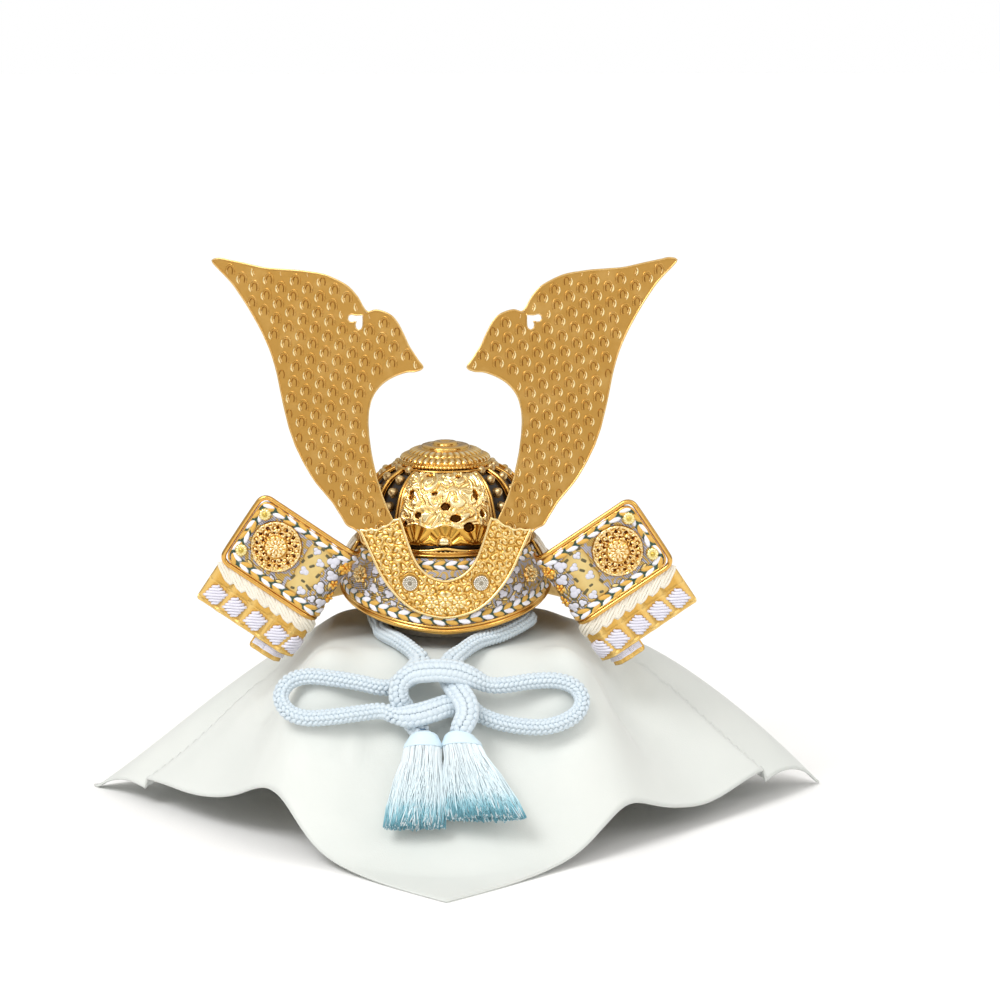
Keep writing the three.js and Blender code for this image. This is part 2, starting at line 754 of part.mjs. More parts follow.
// The knot's outer form, a flattened cushion that lies against the sloping cloth.
const knot = new THREE.SphereGeometry(1, 20, 12).scale(23.6, 8.6, 19);
knot.rotateX(radians(-30));
piece("cord_knot", knot.translate(-5, -96.6, 86.4), CORD_SILK);

// ---- tassels: bound heads and combed skirts, hanging down the front of the cloth ----
const TASSEL_ROWS = [
  // share of the length, half width, half depth
  [0, 3.4, 3.4],
  [0.05, 6.6, 5.4],
  [0.14, 8.8, 6.6],
  [0.22, 9.4, 7],
  [0.3, 9.4, 6.8],
  [0.5, 12, 6.8],
  [0.8, 15, 6.2],
  [1, 16.2, 5.2],
];

function tassel(name, head, foot, spread) {
  const down = foot.clone().sub(head);
  const deep = vec(1, 0, 0).cross(down).normalize();
  const sections = TASSEL_ROWS.map(([share, halfWidth, halfDepth]) => {
    const wide = halfWidth * THREE.MathUtils.lerp(1, spread, share);
    return [head.clone().addScaledVector(down, share), wide, halfDepth];
  });
  piece(name, loft(sections, 16, vec(1, 0, 0), deep.negate()), TASSEL_SILK);
}
tassel("tassel_left", vec(-11.6, -109.4, 70.4), vec(-16.8, -136, 25), 0.94);
tassel("tassel_right", vec(6.2, -109.4, 70.4), vec(21.4, -136, 29.6), 1.24);

export default helmet;
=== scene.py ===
"""The looks of a miniature kabuto helmet on a cloth-draped stand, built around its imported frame.

Shapes are worked out in millimetres and turned to metres when their object is made. X is to the
right as seen from the front, Y to the back and Z up. Pieces that come in pairs are worked out for
the side at negative X and mirrored.
"""

import math

import bpy
import numpy as np
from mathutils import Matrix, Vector


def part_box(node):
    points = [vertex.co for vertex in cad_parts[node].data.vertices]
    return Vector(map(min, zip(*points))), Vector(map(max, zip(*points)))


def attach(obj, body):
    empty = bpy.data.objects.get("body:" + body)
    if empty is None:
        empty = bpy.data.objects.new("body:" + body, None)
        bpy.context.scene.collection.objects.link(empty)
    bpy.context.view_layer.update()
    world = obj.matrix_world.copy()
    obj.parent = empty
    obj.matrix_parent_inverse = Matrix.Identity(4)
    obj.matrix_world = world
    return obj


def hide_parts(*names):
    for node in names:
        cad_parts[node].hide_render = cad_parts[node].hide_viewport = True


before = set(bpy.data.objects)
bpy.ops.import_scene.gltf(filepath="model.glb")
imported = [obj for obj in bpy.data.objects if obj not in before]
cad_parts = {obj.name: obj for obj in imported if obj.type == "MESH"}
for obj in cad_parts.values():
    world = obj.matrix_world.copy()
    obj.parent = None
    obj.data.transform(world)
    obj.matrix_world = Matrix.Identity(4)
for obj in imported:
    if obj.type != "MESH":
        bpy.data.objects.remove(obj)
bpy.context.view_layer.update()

MM = 0.001

# ---------------------------------------------------------------- vectors and curves


def unit(v):
    """The same directions with length one."""
    return v / np.maximum(np.linalg.norm(v, axis=-1, keepdims=True), 1e-12)


def smooth(low, high, t):
    """0 below low, 1 above high, with an easy turn at both ends."""
    s = np.clip((np.asarray(t, float) - low) / (high - low), 0, 1)
    return s * s * (3 - 2 * s)


def mix(a, b, share):
    """A value that goes from a to b as share goes from 0 to 1."""
    return a + (b - a) * share


def runs_along(path):
    """How far along a path each of its points lies."""
    return np.concatenate([[0], np.cumsum(np.linalg.norm(np.diff(path, axis=0), axis=1))])


def sampled(at, runs, values):
    """Rows of values read at other runs along the same path."""
    return np.stack([np.interp(at, runs, values[:, a]) for a in range(values.shape[1])], -1)


def full_turn(count):
    """Even angles once round a circle."""
    return 2 * np.pi * np.arange(count) / count


def through(points, count, closed=False):
    """A smooth curve through points, as count points at even steps along it."""
    p = np.asarray(points, float)
    n = len(p)
    if closed:
        p = np.concatenate([p[-1:], p, p[:2]])
        spans = n
    else:
        p = np.concatenate([2 * p[:1] - p[1:2], p, 2 * p[-1:] - p[-2:-1]])
        spans = n - 1
    fine = []
    s = np.linspace(0, 1, 24, endpoint=False)[:, None]
    for k in range(spans):
        p0, p1, p2, p3 = p[k : k + 4]
        d0, d1, d2 = (max(np.linalg.norm(b - a), 1e-9) ** 0.5 for a, b in ((p0, p1), (p1, p2), (p2, p3)))
        m1 = (p2 - p1) + d1 * ((p1 - p0) / d0 - (p2 - p0) / (d0 + d1))
        m2 = (p2 - p1) + d1 * ((p3 - p2) / d2 - (p3 - p1) / (d1 + d2))
        fine.append(p1 + s * (m1 + s * (3 * (p2 - p1) - 2 * m1 - m2 + s * (2 * (p1 - p2) + m1 + m2))))
    fine = np.concatenate(fine + [p[spans + 1][None]])
    reach = runs_along(fine)
    steps = np.linspace(0, reach[-1], count + 1 if closed else count)
    even = sampled(steps, reach, fine)
    return even[:-1] if closed else even


def length_of(path):
    """The length of a path."""
    return float(np.linalg.norm(np.diff(path, axis=0), axis=1).sum())


def turn_about(axis, degrees):
    """A rotation about x, y or z as a matrix for columns."""
    c, s = math.cos(math.radians(degrees)), math.sin(math.radians(degrees))
    if axis == "x":
        return np.array([[1, 0, 0], [0, c, -s], [0, s, c]])
    if axis == "y":
        return np.array([[c, 0, s], [0, 1, 0], [-s, 0, c]])
    return np.array([[c, -s, 0], [s, c, 0], [0, 0, 1]])


def middle(node):
    """The middle of a CAD node's box, in millimetres."""
    low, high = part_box(node)
    return (np.array(low) + np.array(high)) / 2 / MM


def seat(points, node):
    """How far points move for their box to stand where the CAD node's box stands."""
    flat = np.reshape(points, (-1, 3))
    return middle(node) - (flat.min(0) + flat.max(0)) / 2


# ---------------------------------------------------------------- forms


class Form:
    """Points and faces in millimetres, with each point's place on the surface and its shade."""

    def __init__(self, points, faces, place=None, shade=0.5):
        self.points = np.asarray(points, float).reshape(-1, 3)
        self.faces = faces
        count = len(self.points)
        self.place = np.zeros((count, 2)) if place is None else np.reshape(place, (count, 2))
        shade = np.asarray(shade, float)
        self.shade = np.full(count, float(shade)) if shade.ndim == 0 else shade.reshape(count)

    def moved(self, matrix=np.eye(3), shift=(0, 0, 0)):
        """The same form turned by a matrix and then shifted."""
        points = self.points @ np.asarray(matrix).T + np.asarray(shift)
        faces = self.faces
        if np.linalg.det(matrix) < 0:
            faces = [f[:, ::-1] for f in faces]
        return Form(points, faces, self.place, self.shade)


MIRROR = np.diag([-1.0, 1.0, 1.0])


def outward(form):
    """Turns a closed form's faces round if they point inwards."""
    volume = 0.0
    for f in form.faces:
        corners = form.points[f]
        for k in range(1, f.shape[1] - 1):
            volume += np.sum(corners[:, 0] * np.cross(corners[:, k], corners[:, k + 1]))
    if volume < 0:
        form.faces = [f[:, ::-1] for f in form.faces]
    return form


def fan(hub, ring, under=False):
    """Triangles from a hub to a closed ring of points, turned over for an underside."""
    hubs, ahead = np.full(len(ring), hub), np.roll(ring, -1)
    return np.stack([hubs, ahead, ring] if under else [hubs, ring, ahead], -1)


def grid_faces(rows, columns, wrap_columns=False, wrap_rows=False):
    """Quads between the neighbouring points of a grid, joined up round it where it wraps."""
    i, j = np.meshgrid(
        np.arange(rows if wrap_rows else rows - 1),
        np.arange(columns if wrap_columns else columns - 1),
        indexing="ij",
    )
    i, j = i.ravel(), j.ravel()
    i2, j2 = (i + 1) % rows, (j + 1) % columns
    return np.stack([i * columns + j, i * columns + j2, i2 * columns + j2, i2 * columns + j], -1)


def plate(front, back, shade=0.5, place=None):
    """A closed plate between two equal grids of points, rows by columns."""
    rows, columns = front.shape[:2]
    n = rows * columns
    face = grid_faces(rows, columns)
    edge = np.concatenate(
        [
            np.arange(columns - 1),
            np.arange(rows - 1) * columns + columns - 1,
            n - 1 - np.arange(columns - 1),
            np.arange(rows - 1, 0, -1) * columns,
        ]
    )
    ahead = np.roll(edge, -1)
    wall = np.stack([edge, edge + n, ahead + n, ahead], -1)
    points = np.concatenate([front.reshape(-1, 3), back.reshape(-1, 3)])
    shade = np.asarray(shade, float)
    if shade.ndim:
        shade = np.concatenate([shade.ravel(), np.full(n, 0.5)])
    if place is not None:
        place = np.concatenate([np.reshape(place, (-1, 2))] * 2)
    return outward(Form(points, [face, face[:, ::-1] + n, wall], place, shade))


def strands(paths, across, deep=None, sides=6, up=(0, 0, 1), shade=0.5):
    """Closed cords along many paths of equal length at once. Their half widths may change along them."""
    paths = np.asarray(paths, float)
    if paths.ndim == 2:
        paths = paths[None]
    count, steps = paths.shape[:2]
    deep = across if deep is None else deep
    across = np.broadcast_to(np.asarray(across, float), (count, steps))
    deep = np.broadcast_to(np.asarray(deep, float), (count, steps))
    tangent = unit(np.gradient(paths, axis=1))
    side = unit(np.cross(tangent, np.broadcast_to(up, tangent.shape)))
    out = np.cross(side, tangent)
    turn = full_turn(sides)
    ring = (
        paths[:, :, None]
        + (across[..., None] * np.cos(turn))[..., None] * side[:, :, None]
        + (deep[..., None] * np.sin(turn))[..., None] * out[:, :, None]
    )
    each = steps * sides + 2
    points = np.concatenate([ring.reshape(count, -1, 3), paths[:, :1], paths[:, -1:]], 1)
    run = np.concatenate(
        [np.zeros((count, 1)), np.cumsum(np.linalg.norm(np.diff(paths, axis=1), axis=2), 1)], 1
    )
    place = np.stack(
        [
            np.repeat(run[:, :, None], sides, 2),
            np.broadcast_to(turn, (count, steps, sides)) * across[..., None],
        ],
        -1,
    ).reshape(count, -1, 2)
    ends = np.zeros((count, 2, 2))
    ends[:, 1, 0] = run[:, -1]
    place = np.concatenate([place, ends], 1)
    shade = np.asarray(shade, float)
    if shade.ndim == 2:
        shade = np.concatenate([np.repeat(shade, sides, 1), shade[:, :1], shade[:, -1:]], 1)
    elif shade.ndim == 1:
        shade = np.repeat(shade, each)
    base = np.arange(count)[:, None, None] * each
    side_faces = (base + grid_faces(steps, sides, wrap_columns=True)).reshape(-1, 4)
    k = np.arange(sides)
    first = fan(steps * sides, k, under=True)
    last = fan(steps * sides + 1, k + (steps - 1) * sides)
    caps = (base + np.concatenate([first, last])).reshape(-1, 3)
    made = Form(points, [side_faces, caps], place, shade)
    return outward(made)


def hoop(path, across, deep=None, sides=8, up=(0, 0, 1), shade=0.5):
    """A cord that closes on itself."""
    count = len(path)
    deep = across if deep is None else deep
    tangent = unit(np.roll(path, -1, 0) - np.roll(path, 1, 0))
    side = unit(np.cross(tangent, np.broadcast_to(up, tangent.shape)))
    out = np.cross(side, tangent)
    turn = full_turn(sides)
    points = (
        path[:, None]
        + np.multiply.outer(np.broadcast_to(across, count), np.cos(turn))[..., None] * side[:, None]
        + np.multiply.outer(np.broadcast_to(deep, count), np.sin(turn))[..., None] * out[:, None]
    )
    return outward(Form(points, [grid_faces(count, sides, True, True)], shade=shade))


def turned(profile, segments=96, shape=None, shade=0.5):
    """A turned piece about Z from [radius, height] rows that begin and end near the axis.

    shape(angle, radius, height) may give other radii and heights, for flutes and petals.
    """
    profile = np.asarray(profile, float)
    angle = np.broadcast_to(full_turn(segments), (len(profile), segments))
    radius = np.broadcast_to(profile[:, :1], angle.shape)
    height = np.broadcast_to(profile[:, 1:], angle.shape)
    if shape is not None:
        radius, height, shade = shape(angle, radius, height)
    points = np.stack([radius * np.sin(angle), -radius * np.cos(angle), height], -1)
    n = angle.size
    ends = np.array([[0, 0, height[0].mean()], [0, 0, height[-1].mean()]])
    k = np.arange(segments)
    caps = np.concatenate([fan(n, k, under=True), fan(n + 1, n - segments + k)])
    shade = np.asarray(shade, float)
    if shade.ndim:
        shade = np.concatenate([shade.ravel(), [0.5, 0.5]])
    place = np.concatenate([np.stack([angle * radius, height], -1).reshape(-1, 2), np.zeros((2, 2))])
    faces = [grid_faces(len(profile), segments, wrap_columns=True), caps]
    return outward(Form(np.concatenate([points.reshape(-1, 3), ends]), faces, place, shade))


def bead(sides=8, rings=3, below=-25):
    """A dome of unit size that rises along Z, closed underneath."""
    lift = np.radians(np.linspace(below, 90, rings + 1)[:-1])
    turn = full_turn(sides)
    rows = np.stack(
        [
            np.multiply.outer(np.cos(lift), np.cos(turn)),
            np.multiply.outer(np.cos(lift), np.sin(turn)),
            np.multiply.outer(np.sin(lift), np.ones(sides)),
        ],
        -1,
    )
    n = rings * sides
    points = np.concatenate([rows.reshape(-1, 3), [[0, 0, rows[0, 0, 2]], [0, 0, 1]]])
    k = np.arange(sides)
    caps = np.concatenate([fan(n, k, under=True), fan(n + 1, n - sides + k)])
    return outward(Form(points, [grid_faces(rings, sides, wrap_columns=True), caps], points[:, :2]))


def copies(model, centres, axes, shade=0.5):
    """A model set down many times; three rows to a copy say where its X, Y and Z go."""
    centres, axes = np.asarray(centres, float), np.asarray(axes, float)
    count, each = len(centres), len(model.points)
    points = centres[:, None] + np.einsum("mk,nkd->nmd", model.points, axes)
    size = np.linalg.norm(axes, axis=2)
    place = model.place[None] * size[:, None, :2]
    base = np.arange(count)[:, None, None] * each
    faces = [(base + f[None]).reshape(-1, f.shape[1]) for f in model.faces]
    shade = np.broadcast_to(np.asarray(shade, float), (count,))
    return Form(points, faces, place, np.repeat(shade, each))


def piece(name, groups, stands_for=()):
    """Joins forms into one object that rides on the set's body. groups is [(finish, [forms]), ...]."""
    points, place, shade, corners, starts, kinds = [], [], [], [], [], []
    base = at = 0
    for number, (_, forms) in enumerate(groups):
        for form in forms:
            points.append(form.points)
            place.append(form.place)
            shade.append(form.shade)
            for f in form.faces:
                corners.append((f + base).ravel())
                starts.append(at + np.arange(len(f)) * f.shape[1])
                kinds.append(np.full(len(f), number))
                at += f.size
            base += len(form.points)
    mesh = bpy.data.meshes.new(name)
    points, corners = np.concatenate(points), np.concatenate(corners)
    starts, kinds = np.concatenate(starts), np.concatenate(kinds)
    mesh.vertices.add(len(points))
    mesh.vertices.foreach_set("co", (points * MM).astype(np.float32).ravel())
    mesh.loops.add(len(corners))
    mesh.loops.foreach_set("vertex_index", corners.astype(np.int32))
    mesh.polygons.add(len(starts))
    mesh.polygons.foreach_set("loop_start", starts.astype(np.int32))
    mesh.polygons.foreach_set("material_index", kinds.astype(np.int32))
    mesh.polygons.foreach_set("use_smooth", np.full(len(starts), True))
    mesh.update(calc_edges=True)
    lay = mesh.uv_layers.new(name="lay")
    lay.data.foreach_set("uv", np.concatenate(place)[corners].astype(np.float32).ravel())
    tone = mesh.attributes.new("shade", "FLOAT", "POINT")
    tone.data.foreach_set("value", np.concatenate(shade).astype(np.float32))
    mesh.validate()
    for finish, _ in groups:
        mesh.materials.append(finish)
    made = bpy.data.objects.new(name, mesh)
    bpy.context.scene.collection.objects.link(made)
    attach(made, "root")
    if stands_for:
        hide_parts(*stands_for)
    return made


# ---------------------------------------------------------------- finishes


def colour(code):
    """A linear colour from an sRGB hex value."""
    parts = [int(code[k : k + 2], 16) / 255 for k in (1, 3, 5)]
    return [c / 12.92 if c <= 0.04045 else ((c + 0.055) / 1.055) ** 2.4 for c in parts] + [1.0]


def add(tree, kind, inputs=None, stops=None, **settings):
    """Adds a node. Inputs are values for its sockets, or sockets to link to them; stops are (place, hex)."""
    made = tree.nodes.new(kind)
    for key, value in settings.items():
        setattr(made, key, value)
    for key, value in (inputs or {}).items():
        if isinstance(value, bpy.types.NodeSocket):
            tree.links.new(value, made.inputs[key])
        else:
            made.inputs[key].default_value = value
    if stops:
        points = made.color_ramp.elements
        while len(points) < len(stops):
            points.new(0.5)
        for point, (place, code) in zip(points, stops):
            point.position = place
            point.color = colour(code)
    return made


def finish(name, **sockets):
    """A new material with the numbers that are the same all over set on its shader's own sockets."""
    made = bpy.data.materials.new(name)
    made.use_nodes = True
    shader = made.node_tree.nodes["Principled BSDF"]
    for key, value in sockets.items():
        shader.inputs[key.replace("_", " ").title()].default_value = value
    return made, made.node_tree, shader


# A wave texture's bands lie this far apart at scale one.
BAND = 0.314


def metal(name, stops, rough, grain=0.35, relief=0.1, wear=0.12):
    """Gilt or silvered sheet with fine-cast or brushed grain and a faint random cloudy tint; where a piece
    sets its shade attribute by its relief, low parts get painted shade and high ones painted highlight.
    """
    made, tree, shader = finish(name, metallic=1.0)
    where = add(tree, "ShaderNodeTexCoord").outputs["Object"]
    shade = add(tree, "ShaderNodeAttribute", attribute_name="shade").outputs["Fac"]
    cloud = add(tree, "ShaderNodeTexNoise", {"Vector": where, "Scale": 90.0, "Detail": 3.0})
    fine = add(tree, "ShaderNodeTexNoise", {"Vector": where, "Scale": 1 / (grain * MM), "Detail": 2.0})
    tint = add(
        tree,
        "ShaderNodeMapRange",
        {"Value": cloud.outputs["Fac"], "From Min": 0.3, "From Max": 0.7, "To Min": -wear, "To Max": wear},
    )
    level = add(
        tree, "ShaderNodeMath", {0: shade, 1: tint.outputs["Result"]}, operation="ADD", use_clamp=True
    )
    # Where a piece sets the shade attribute by its relief, these stops paint shade at the low end and
    # highlight at the high end.
    tone = add(tree, "ShaderNodeValToRGB", {"Fac": level.outputs["Value"]}, stops)
    tree.links.new(tone.outputs["Color"], shader.inputs["Base Color"])
    gloss = add(
        tree,
        "ShaderNodeMapRange",
        {
            "Value": fine.outputs["Fac"],
            "From Min": 0.3,
            "From Max": 0.7,
            "To Min": rough * 0.8,
            "To Max": rough * 1.25,
        },
    )
    tree.links.new(gloss.outputs["Result"], shader.inputs["Roughness"])
    bump = add(
        tree, "ShaderNodeBump", {"Height": fine.outputs["Fac"], "Strength": relief, "Distance": 0.1 * MM}
    )
    tree.links.new(bump.outputs["Normal"], shader.inputs["Normal"])
    return made


def yarn(name, dark, light, thread=0.45, rough=0.55):
    """Twisted silk yarn: fine filaments that run along each strand, a soft sheen, a little uneven dye."""
    made, tree, shader = finish(name, roughness=rough, sheen_weight=0.35, sheen_roughness=0.4)
    shade = add(tree, "ShaderNodeAttribute", attribute_name="shade").outputs["Fac"]
    where = add(tree, "ShaderNodeTexCoord")
    lines = add(
        tree,
        "ShaderNodeTexWave",
        {"Vector": where.outputs["UV"], "Scale": BAND / thread, "Distortion": 1.2, "Detail": 1.0},
        bands_direction="Y",
    )
    patch = add(
        tree, "ShaderNodeTexNoise", {"Vector": where.outputs["Object"], "Scale": 900.0, "Detail": 2.0}
    )
    level = add(
        tree, "ShaderNodeMath", {0: lines.outputs["Fac"], 1: 0.35, 2: shade}, operation="MULTIPLY_ADD"
    )
    tone = add(
        tree,
        "ShaderNodeMath",
        {0: patch.outputs["Fac"], 1: 0.5, 2: level.outputs["Value"]},
        operation="MULTIPLY_ADD",
    )
    dye = add(tree, "ShaderNodeValToRGB", {"Fac": tone.outputs["Value"]}, [(0.35, dark), (1.0, light)])
    tree.links.new(dye.outputs["Color"], shader.inputs["Base Color"])
    bump = add(
        tree, "ShaderNodeBump", {"Height": lines.outputs["Fac"], "Strength": 0.5, "Distance": 0.12 * MM}
    )
    tree.links.new(bump.outputs["Normal"], shader.inputs["Normal"])
    return made


# Brushed gilt sheet of the horns: even pale gold, softly glossy.
SATIN_GOLD = metal(
    "satin_gilt_sheet", [(0.0, "#C6984E"), (1.0, "#E4BE78")], rough=0.42, grain=0.5, relief=0.25, wear=0.25
)
# The horns' stamped marks: painted shade in the inner arcs, painted highlight on the claws and spurs, a
# little lighter than their ground elsewhere.
STAMPED_GOLD = metal(
    "gilt_stamping_painted_light",
    [(0.0, "#9C6A2C"), (0.6, "#D2A454"), (1.0, "#FFEBB4")],
    rough=0.3, grain=0.5, relief=0.1, wear=0.05,
)
# Polished gold plate on tube and cast rims: a near mirror, warm in the shade.
BRIGHT_GOLD = metal(
    "polished_gold_plate",
    [(0.0, "#9A5E1A"), (0.35, "#D69C44"), (0.7, "#EEC472"), (1.0, "#FFEBBE")],
    rough=0.2, grain=0.6, relief=0.06, wear=0.05,
)
# Chased and pierced gilt relief: painted highlight on the ridges, painted brown shade in the cuts and
# openings.
CHASED_GOLD = metal(
    "chased_gilt_relief",
    [(0.0, "#4A2C10"), (0.16, "#965F22"), (0.4, "#E3B050"), (1.0, "#FFEDB8")],
    rough=0.2, grain=0.35, relief=0.06, wear=0.04,
)
# Finely chased openwork of the medallions: painted highlight on the gold crests, painted amber shade in the
# ground and openings.
LACE_GOLD = metal(
    "chased_gilt_lace",
    [(0.0, "#8E5A26"), (0.2, "#B47A34"), (0.5, "#E8B85E"), (1.0, "#FFF0C4")],
    rough=0.24, grain=0.35, relief=0.06, wear=0.04,
)
# Finely chased plate of the crest holder: satin gold, painted amber shade in its ground and painted
# highlight on its curls and wired edges.
HOLDER_GOLD = metal(
    "chased_gilt_plate",
    [(0.0, "#A06C26"), (0.3, "#CF9A45"), (0.7, "#ECC473"), (1.0, "#FFEFBC")],
    rough=0.26, grain=0.35, relief=0.06, wear=0.04,
)
# Gilt scales of the lames: plain gold, a little duller than the rims.
SCALE_GOLD = metal(
    "gilt_scale_sheet",
    [(0.0, "#B07A32"), (0.3, "#DDAE58"), (1.0, "#F8D88E")],
    rough=0.32, grain=0.5, relief=0.12, wear=0.06,
)
# Pale yellow gold of the corner studs.
PALE_GOLD = metal(
    "pale_gilt_stud",
    [(0.0, "#A08032"), (0.5, "#E2C668"), (1.0, "#FFF4BE")],
    rough=0.28, grain=0.4, relief=0.1, wear=0.05,
)
# Silvered brass of the rosettes: cool grey highlights with warm hollows.
SILVERED = metal(
    "silvered_rosette",
    [(0.0, "#4E4234"), (0.4, "#BDB4A2"), (1.0, "#FAF7F0")],
    rough=0.24, grain=0.3, relief=0.08, wear=0.05,
)
# Aged gilt dome rivets, matt and tan.
RIVET_GOLD = metal(
    "matt_gilt_rivet",
    [(0.0, "#7E5E34"), (0.5, "#D2B47C"), (1.0, "#F2E2BA")],
    rough=0.38, grain=0.4, relief=0.1, wear=0.05,
)
# Gold paper thread of the brocade, laid flat: soft gold with a broken shine.
FOIL = metal(
    "gold_paper_thread",
    [(0.0, "#9A7A38"), (0.5, "#D4B068"), (1.0, "#F0DA9A")],
    rough=0.42, grain=0.5, relief=0.4, wear=0.1,
)
ORANGE_GOLD = metal(
    "orange_gold_thread",
    [(0.0, "#8A4E10"), (0.5, "#E8A438"), (1.0, "#FFDA80")],
    rough=0.34, grain=0.5, relief=0.35, wear=0.1,
)

# Braided silk of the bow: pale ice blue; its dark end is painted shade, on the core that shows in the gaps
# between the plaits.
CORD_SILK = yarn("pale_blue_silk_braid", "#4F7DA8", "#D0DCE4", 0.7)
WHITE_SILK = yarn("white_silk_braid", "#BDBDD0", "#F4F4FC", 0.6)
OCHRE_SILK = yarn("ochre_silk_braid", "#9A6F24", "#E0B050", 0.6)
GREEN_SILK = yarn("dark_green_silk_braid", "#14201A", "#41604E", 0.6)
LILAC_SILK = yarn("lavender_silk_lacing", "#9C9AB2", "#E2E0EC", 0.7)
CREAM_SILK = yarn("cream_silk_hank", "#B9A680", "#F3ECDD", 0.6)
SILVER_THREAD = yarn("silver_grey_silk_thread", "#7C7A86", "#D6D5E0", 0.5, 0.45)
DARK_THREAD = yarn("olive_black_silk_thread", "#1C1A12", "#5C5434", 0.5)


def silk_crepe():
    """Chirimen silk crepe: matt white with a fine pebbled grain and a faint warm and cool drift."""
    made, tree, shader = finish("white_silk_crepe", roughness=0.82, sheen_weight=0.25, sheen_roughness=0.5)
    where = add(tree, "ShaderNodeTexCoord").outputs["Object"]
    # The crepe's pebbles are 0.4 mm across and are drawn at 0.9 mm to show.
    pebble = add(tree, "ShaderNodeTexVoronoi", {"Vector": where, "Scale": 1 / (0.9 * MM)})
    drift = add(tree, "ShaderNodeTexNoise", {"Vector": where, "Scale": 14.0, "Detail": 3.0})
    tone = add(
        tree, "ShaderNodeValToRGB", {"Fac": drift.outputs["Fac"]}, [(0.3, "#D3D7D3"), (0.7, "#DBDEDA")]
    )
    tree.links.new(tone.outputs["Color"], shader.inputs["Base Color"])
    bump = add(
        tree, "ShaderNodeBump", {
            "Height": pebble.outputs["Distance"], "Strength": 0.35, "Distance": 0.12 * MM
        }
    )
    tree.links.new(bump.outputs["Normal"], shader.inputs["Normal"])
    return made


def covered_board():
    """Paper-covered board of the stand: off-white paper with long fibres, smooth and matt."""
    made, tree, shader = finish("paper_covered_board", roughness=0.8)
    where = add(tree, "ShaderNodeTexCoord").outputs["Object"]
    fibre = add(
        tree, "ShaderNodeTexNoise", {"Vector": where, "Scale": 400.0, "Detail": 5.0, "Distortion": 1.5}
    )
    tone = add(
        tree, "ShaderNodeValToRGB", {"Fac": fibre.outputs["Fac"]}, [(0.3, "#D2CABA"), (0.7, "#E2DCCF")]
    )
    tree.links.new(tone.outputs["Color"], shader.inputs["Base Color"])
    bump = add(
        tree, "ShaderNodeBump", {"Height": fibre.outputs["Fac"], "Strength": 0.15, "Distance": 0.1 * MM}
    )
    tree.links.new(bump.outputs["Normal"], shader.inputs["Normal"])
    return made


def urushi():
    """Urushi lacquer over the bowl's plates: brown-black, deep gloss, with faint brush marks."""
    made, tree, shader = finish("brown_black_urushi", roughness=0.3, coat_weight=0.15, coat_roughness=0.15)
    where = add(tree, "ShaderNodeTexCoord").outputs["Object"]
    brush = add(tree, "ShaderNodeTexNoise", {"Vector": where, "Scale": 260.0, "Detail": 3.0})
    tone = add(
        tree, "ShaderNodeValToRGB", {"Fac": brush.outputs["Fac"]}, [(0.3, "#120A06"), (0.7, "#241710")]
    )
    tree.links.new(tone.outputs["Color"], shader.inputs["Base Color"])
    bump = add(
        tree, "ShaderNodeBump", {"Height": brush.outputs["Fac"], "Strength": 0.08, "Distance": 0.2 * MM}
    )
    tree.links.new(bump.outputs["Normal"], shader.inputs["Normal"])
    return made


def brocade():
    """Kinran brocade: silver-grey twill with flat gold-paper thread laid in as clouds and leaves."""
    made, tree, shader = finish("silver_gold_brocade")
    where = add(tree, "ShaderNodeTexCoord").outputs["Object"]
    # The figure repeats about every 9 mm, so its leaves are 3 to 5 mm across.
    bent = add(tree, "ShaderNodeTexNoise", {"Vector": where, "Scale": 150.0, "Detail": 1.0})
    shifted = add(
        tree,
        "ShaderNodeVectorMath",
        {0: bent.outputs["Color"], 1: (0.006, 0.006, 0.006), 2: where},
        operation="MULTIPLY_ADD",
    )
    cells = add(
        tree,
        "ShaderNodeTexVoronoi",
        {"Vector": shifted.outputs["Vector"], "Scale": 165.0, "Randomness": 0.8},
        feature="F1",
    )
    rings = add(tree, "ShaderNodeMath", {0: cells.outputs["Distance"], 1: 17.0}, operation="MULTIPLY")
    scroll = add(tree, "ShaderNodeMath", {0: rings.outputs["Value"]}, operation="SINE")
    gold = add(
        tree, "ShaderNodeMapRange", {"Value": scroll.outputs["Value"], "From Min": -0.05, "From Max": 0.15}
    )
    weave = add(
        tree, "ShaderNodeTexWave", {
            "Vector": where, "Scale": 420.0, "Distortion": 0.4
        }, bands_direction="DIAGONAL"
    )
    silver = add(
        tree, "ShaderNodeValToRGB", {"Fac": weave.outputs["Fac"]}, [(0.2, "#7A7780"), (0.8, "#BDBBC6")]
    )
    foil = add(
        tree, "ShaderNodeValToRGB", {"Fac": weave.outputs["Fac"]}, [(0.2, "#9C7A38"), (0.8, "#D8B66C")]
    )
    # Sockets 6 and 7 are the colour pair of a mix, and its colour comes out of output 2.
    seen = add(
        tree,
        "ShaderNodeMix",
        {0: gold.outputs["Result"], 6: silver.outputs["Color"], 7: foil.outputs["Color"]},
        data_type="RGBA",
    )
    tree.links.new(seen.outputs[2], shader.inputs["Base Color"])
    shine = add(
        tree, "ShaderNodeMapRange", {"Value": gold.outputs["Result"], "To Min": 0.15, "To Max": 0.75}
    )
    tree.links.new(shine.outputs["Result"], shader.inputs["Metallic"])
    gloss = add(
        tree, "ShaderNodeMapRange", {"Value": gold.outputs["Result"], "To Min": 0.55, "To Max": 0.38}
    )
    tree.links.new(gloss.outputs["Result"], shader.inputs["Roughness"])
    raised = add(
        tree,
        "ShaderNodeMath",
        {0: gold.outputs["Result"], 1: 1.5, 2: weave.outputs["Fac"]},
        operation="MULTIPLY_ADD",
    )
    bump = add(
        tree, "ShaderNodeBump", {"Height": raised.outputs["Value"], "Strength": 0.5, "Distance": 0.12 * MM}
    )
    tree.links.new(bump.outputs["Normal"], shader.inputs["Normal"])
    return made


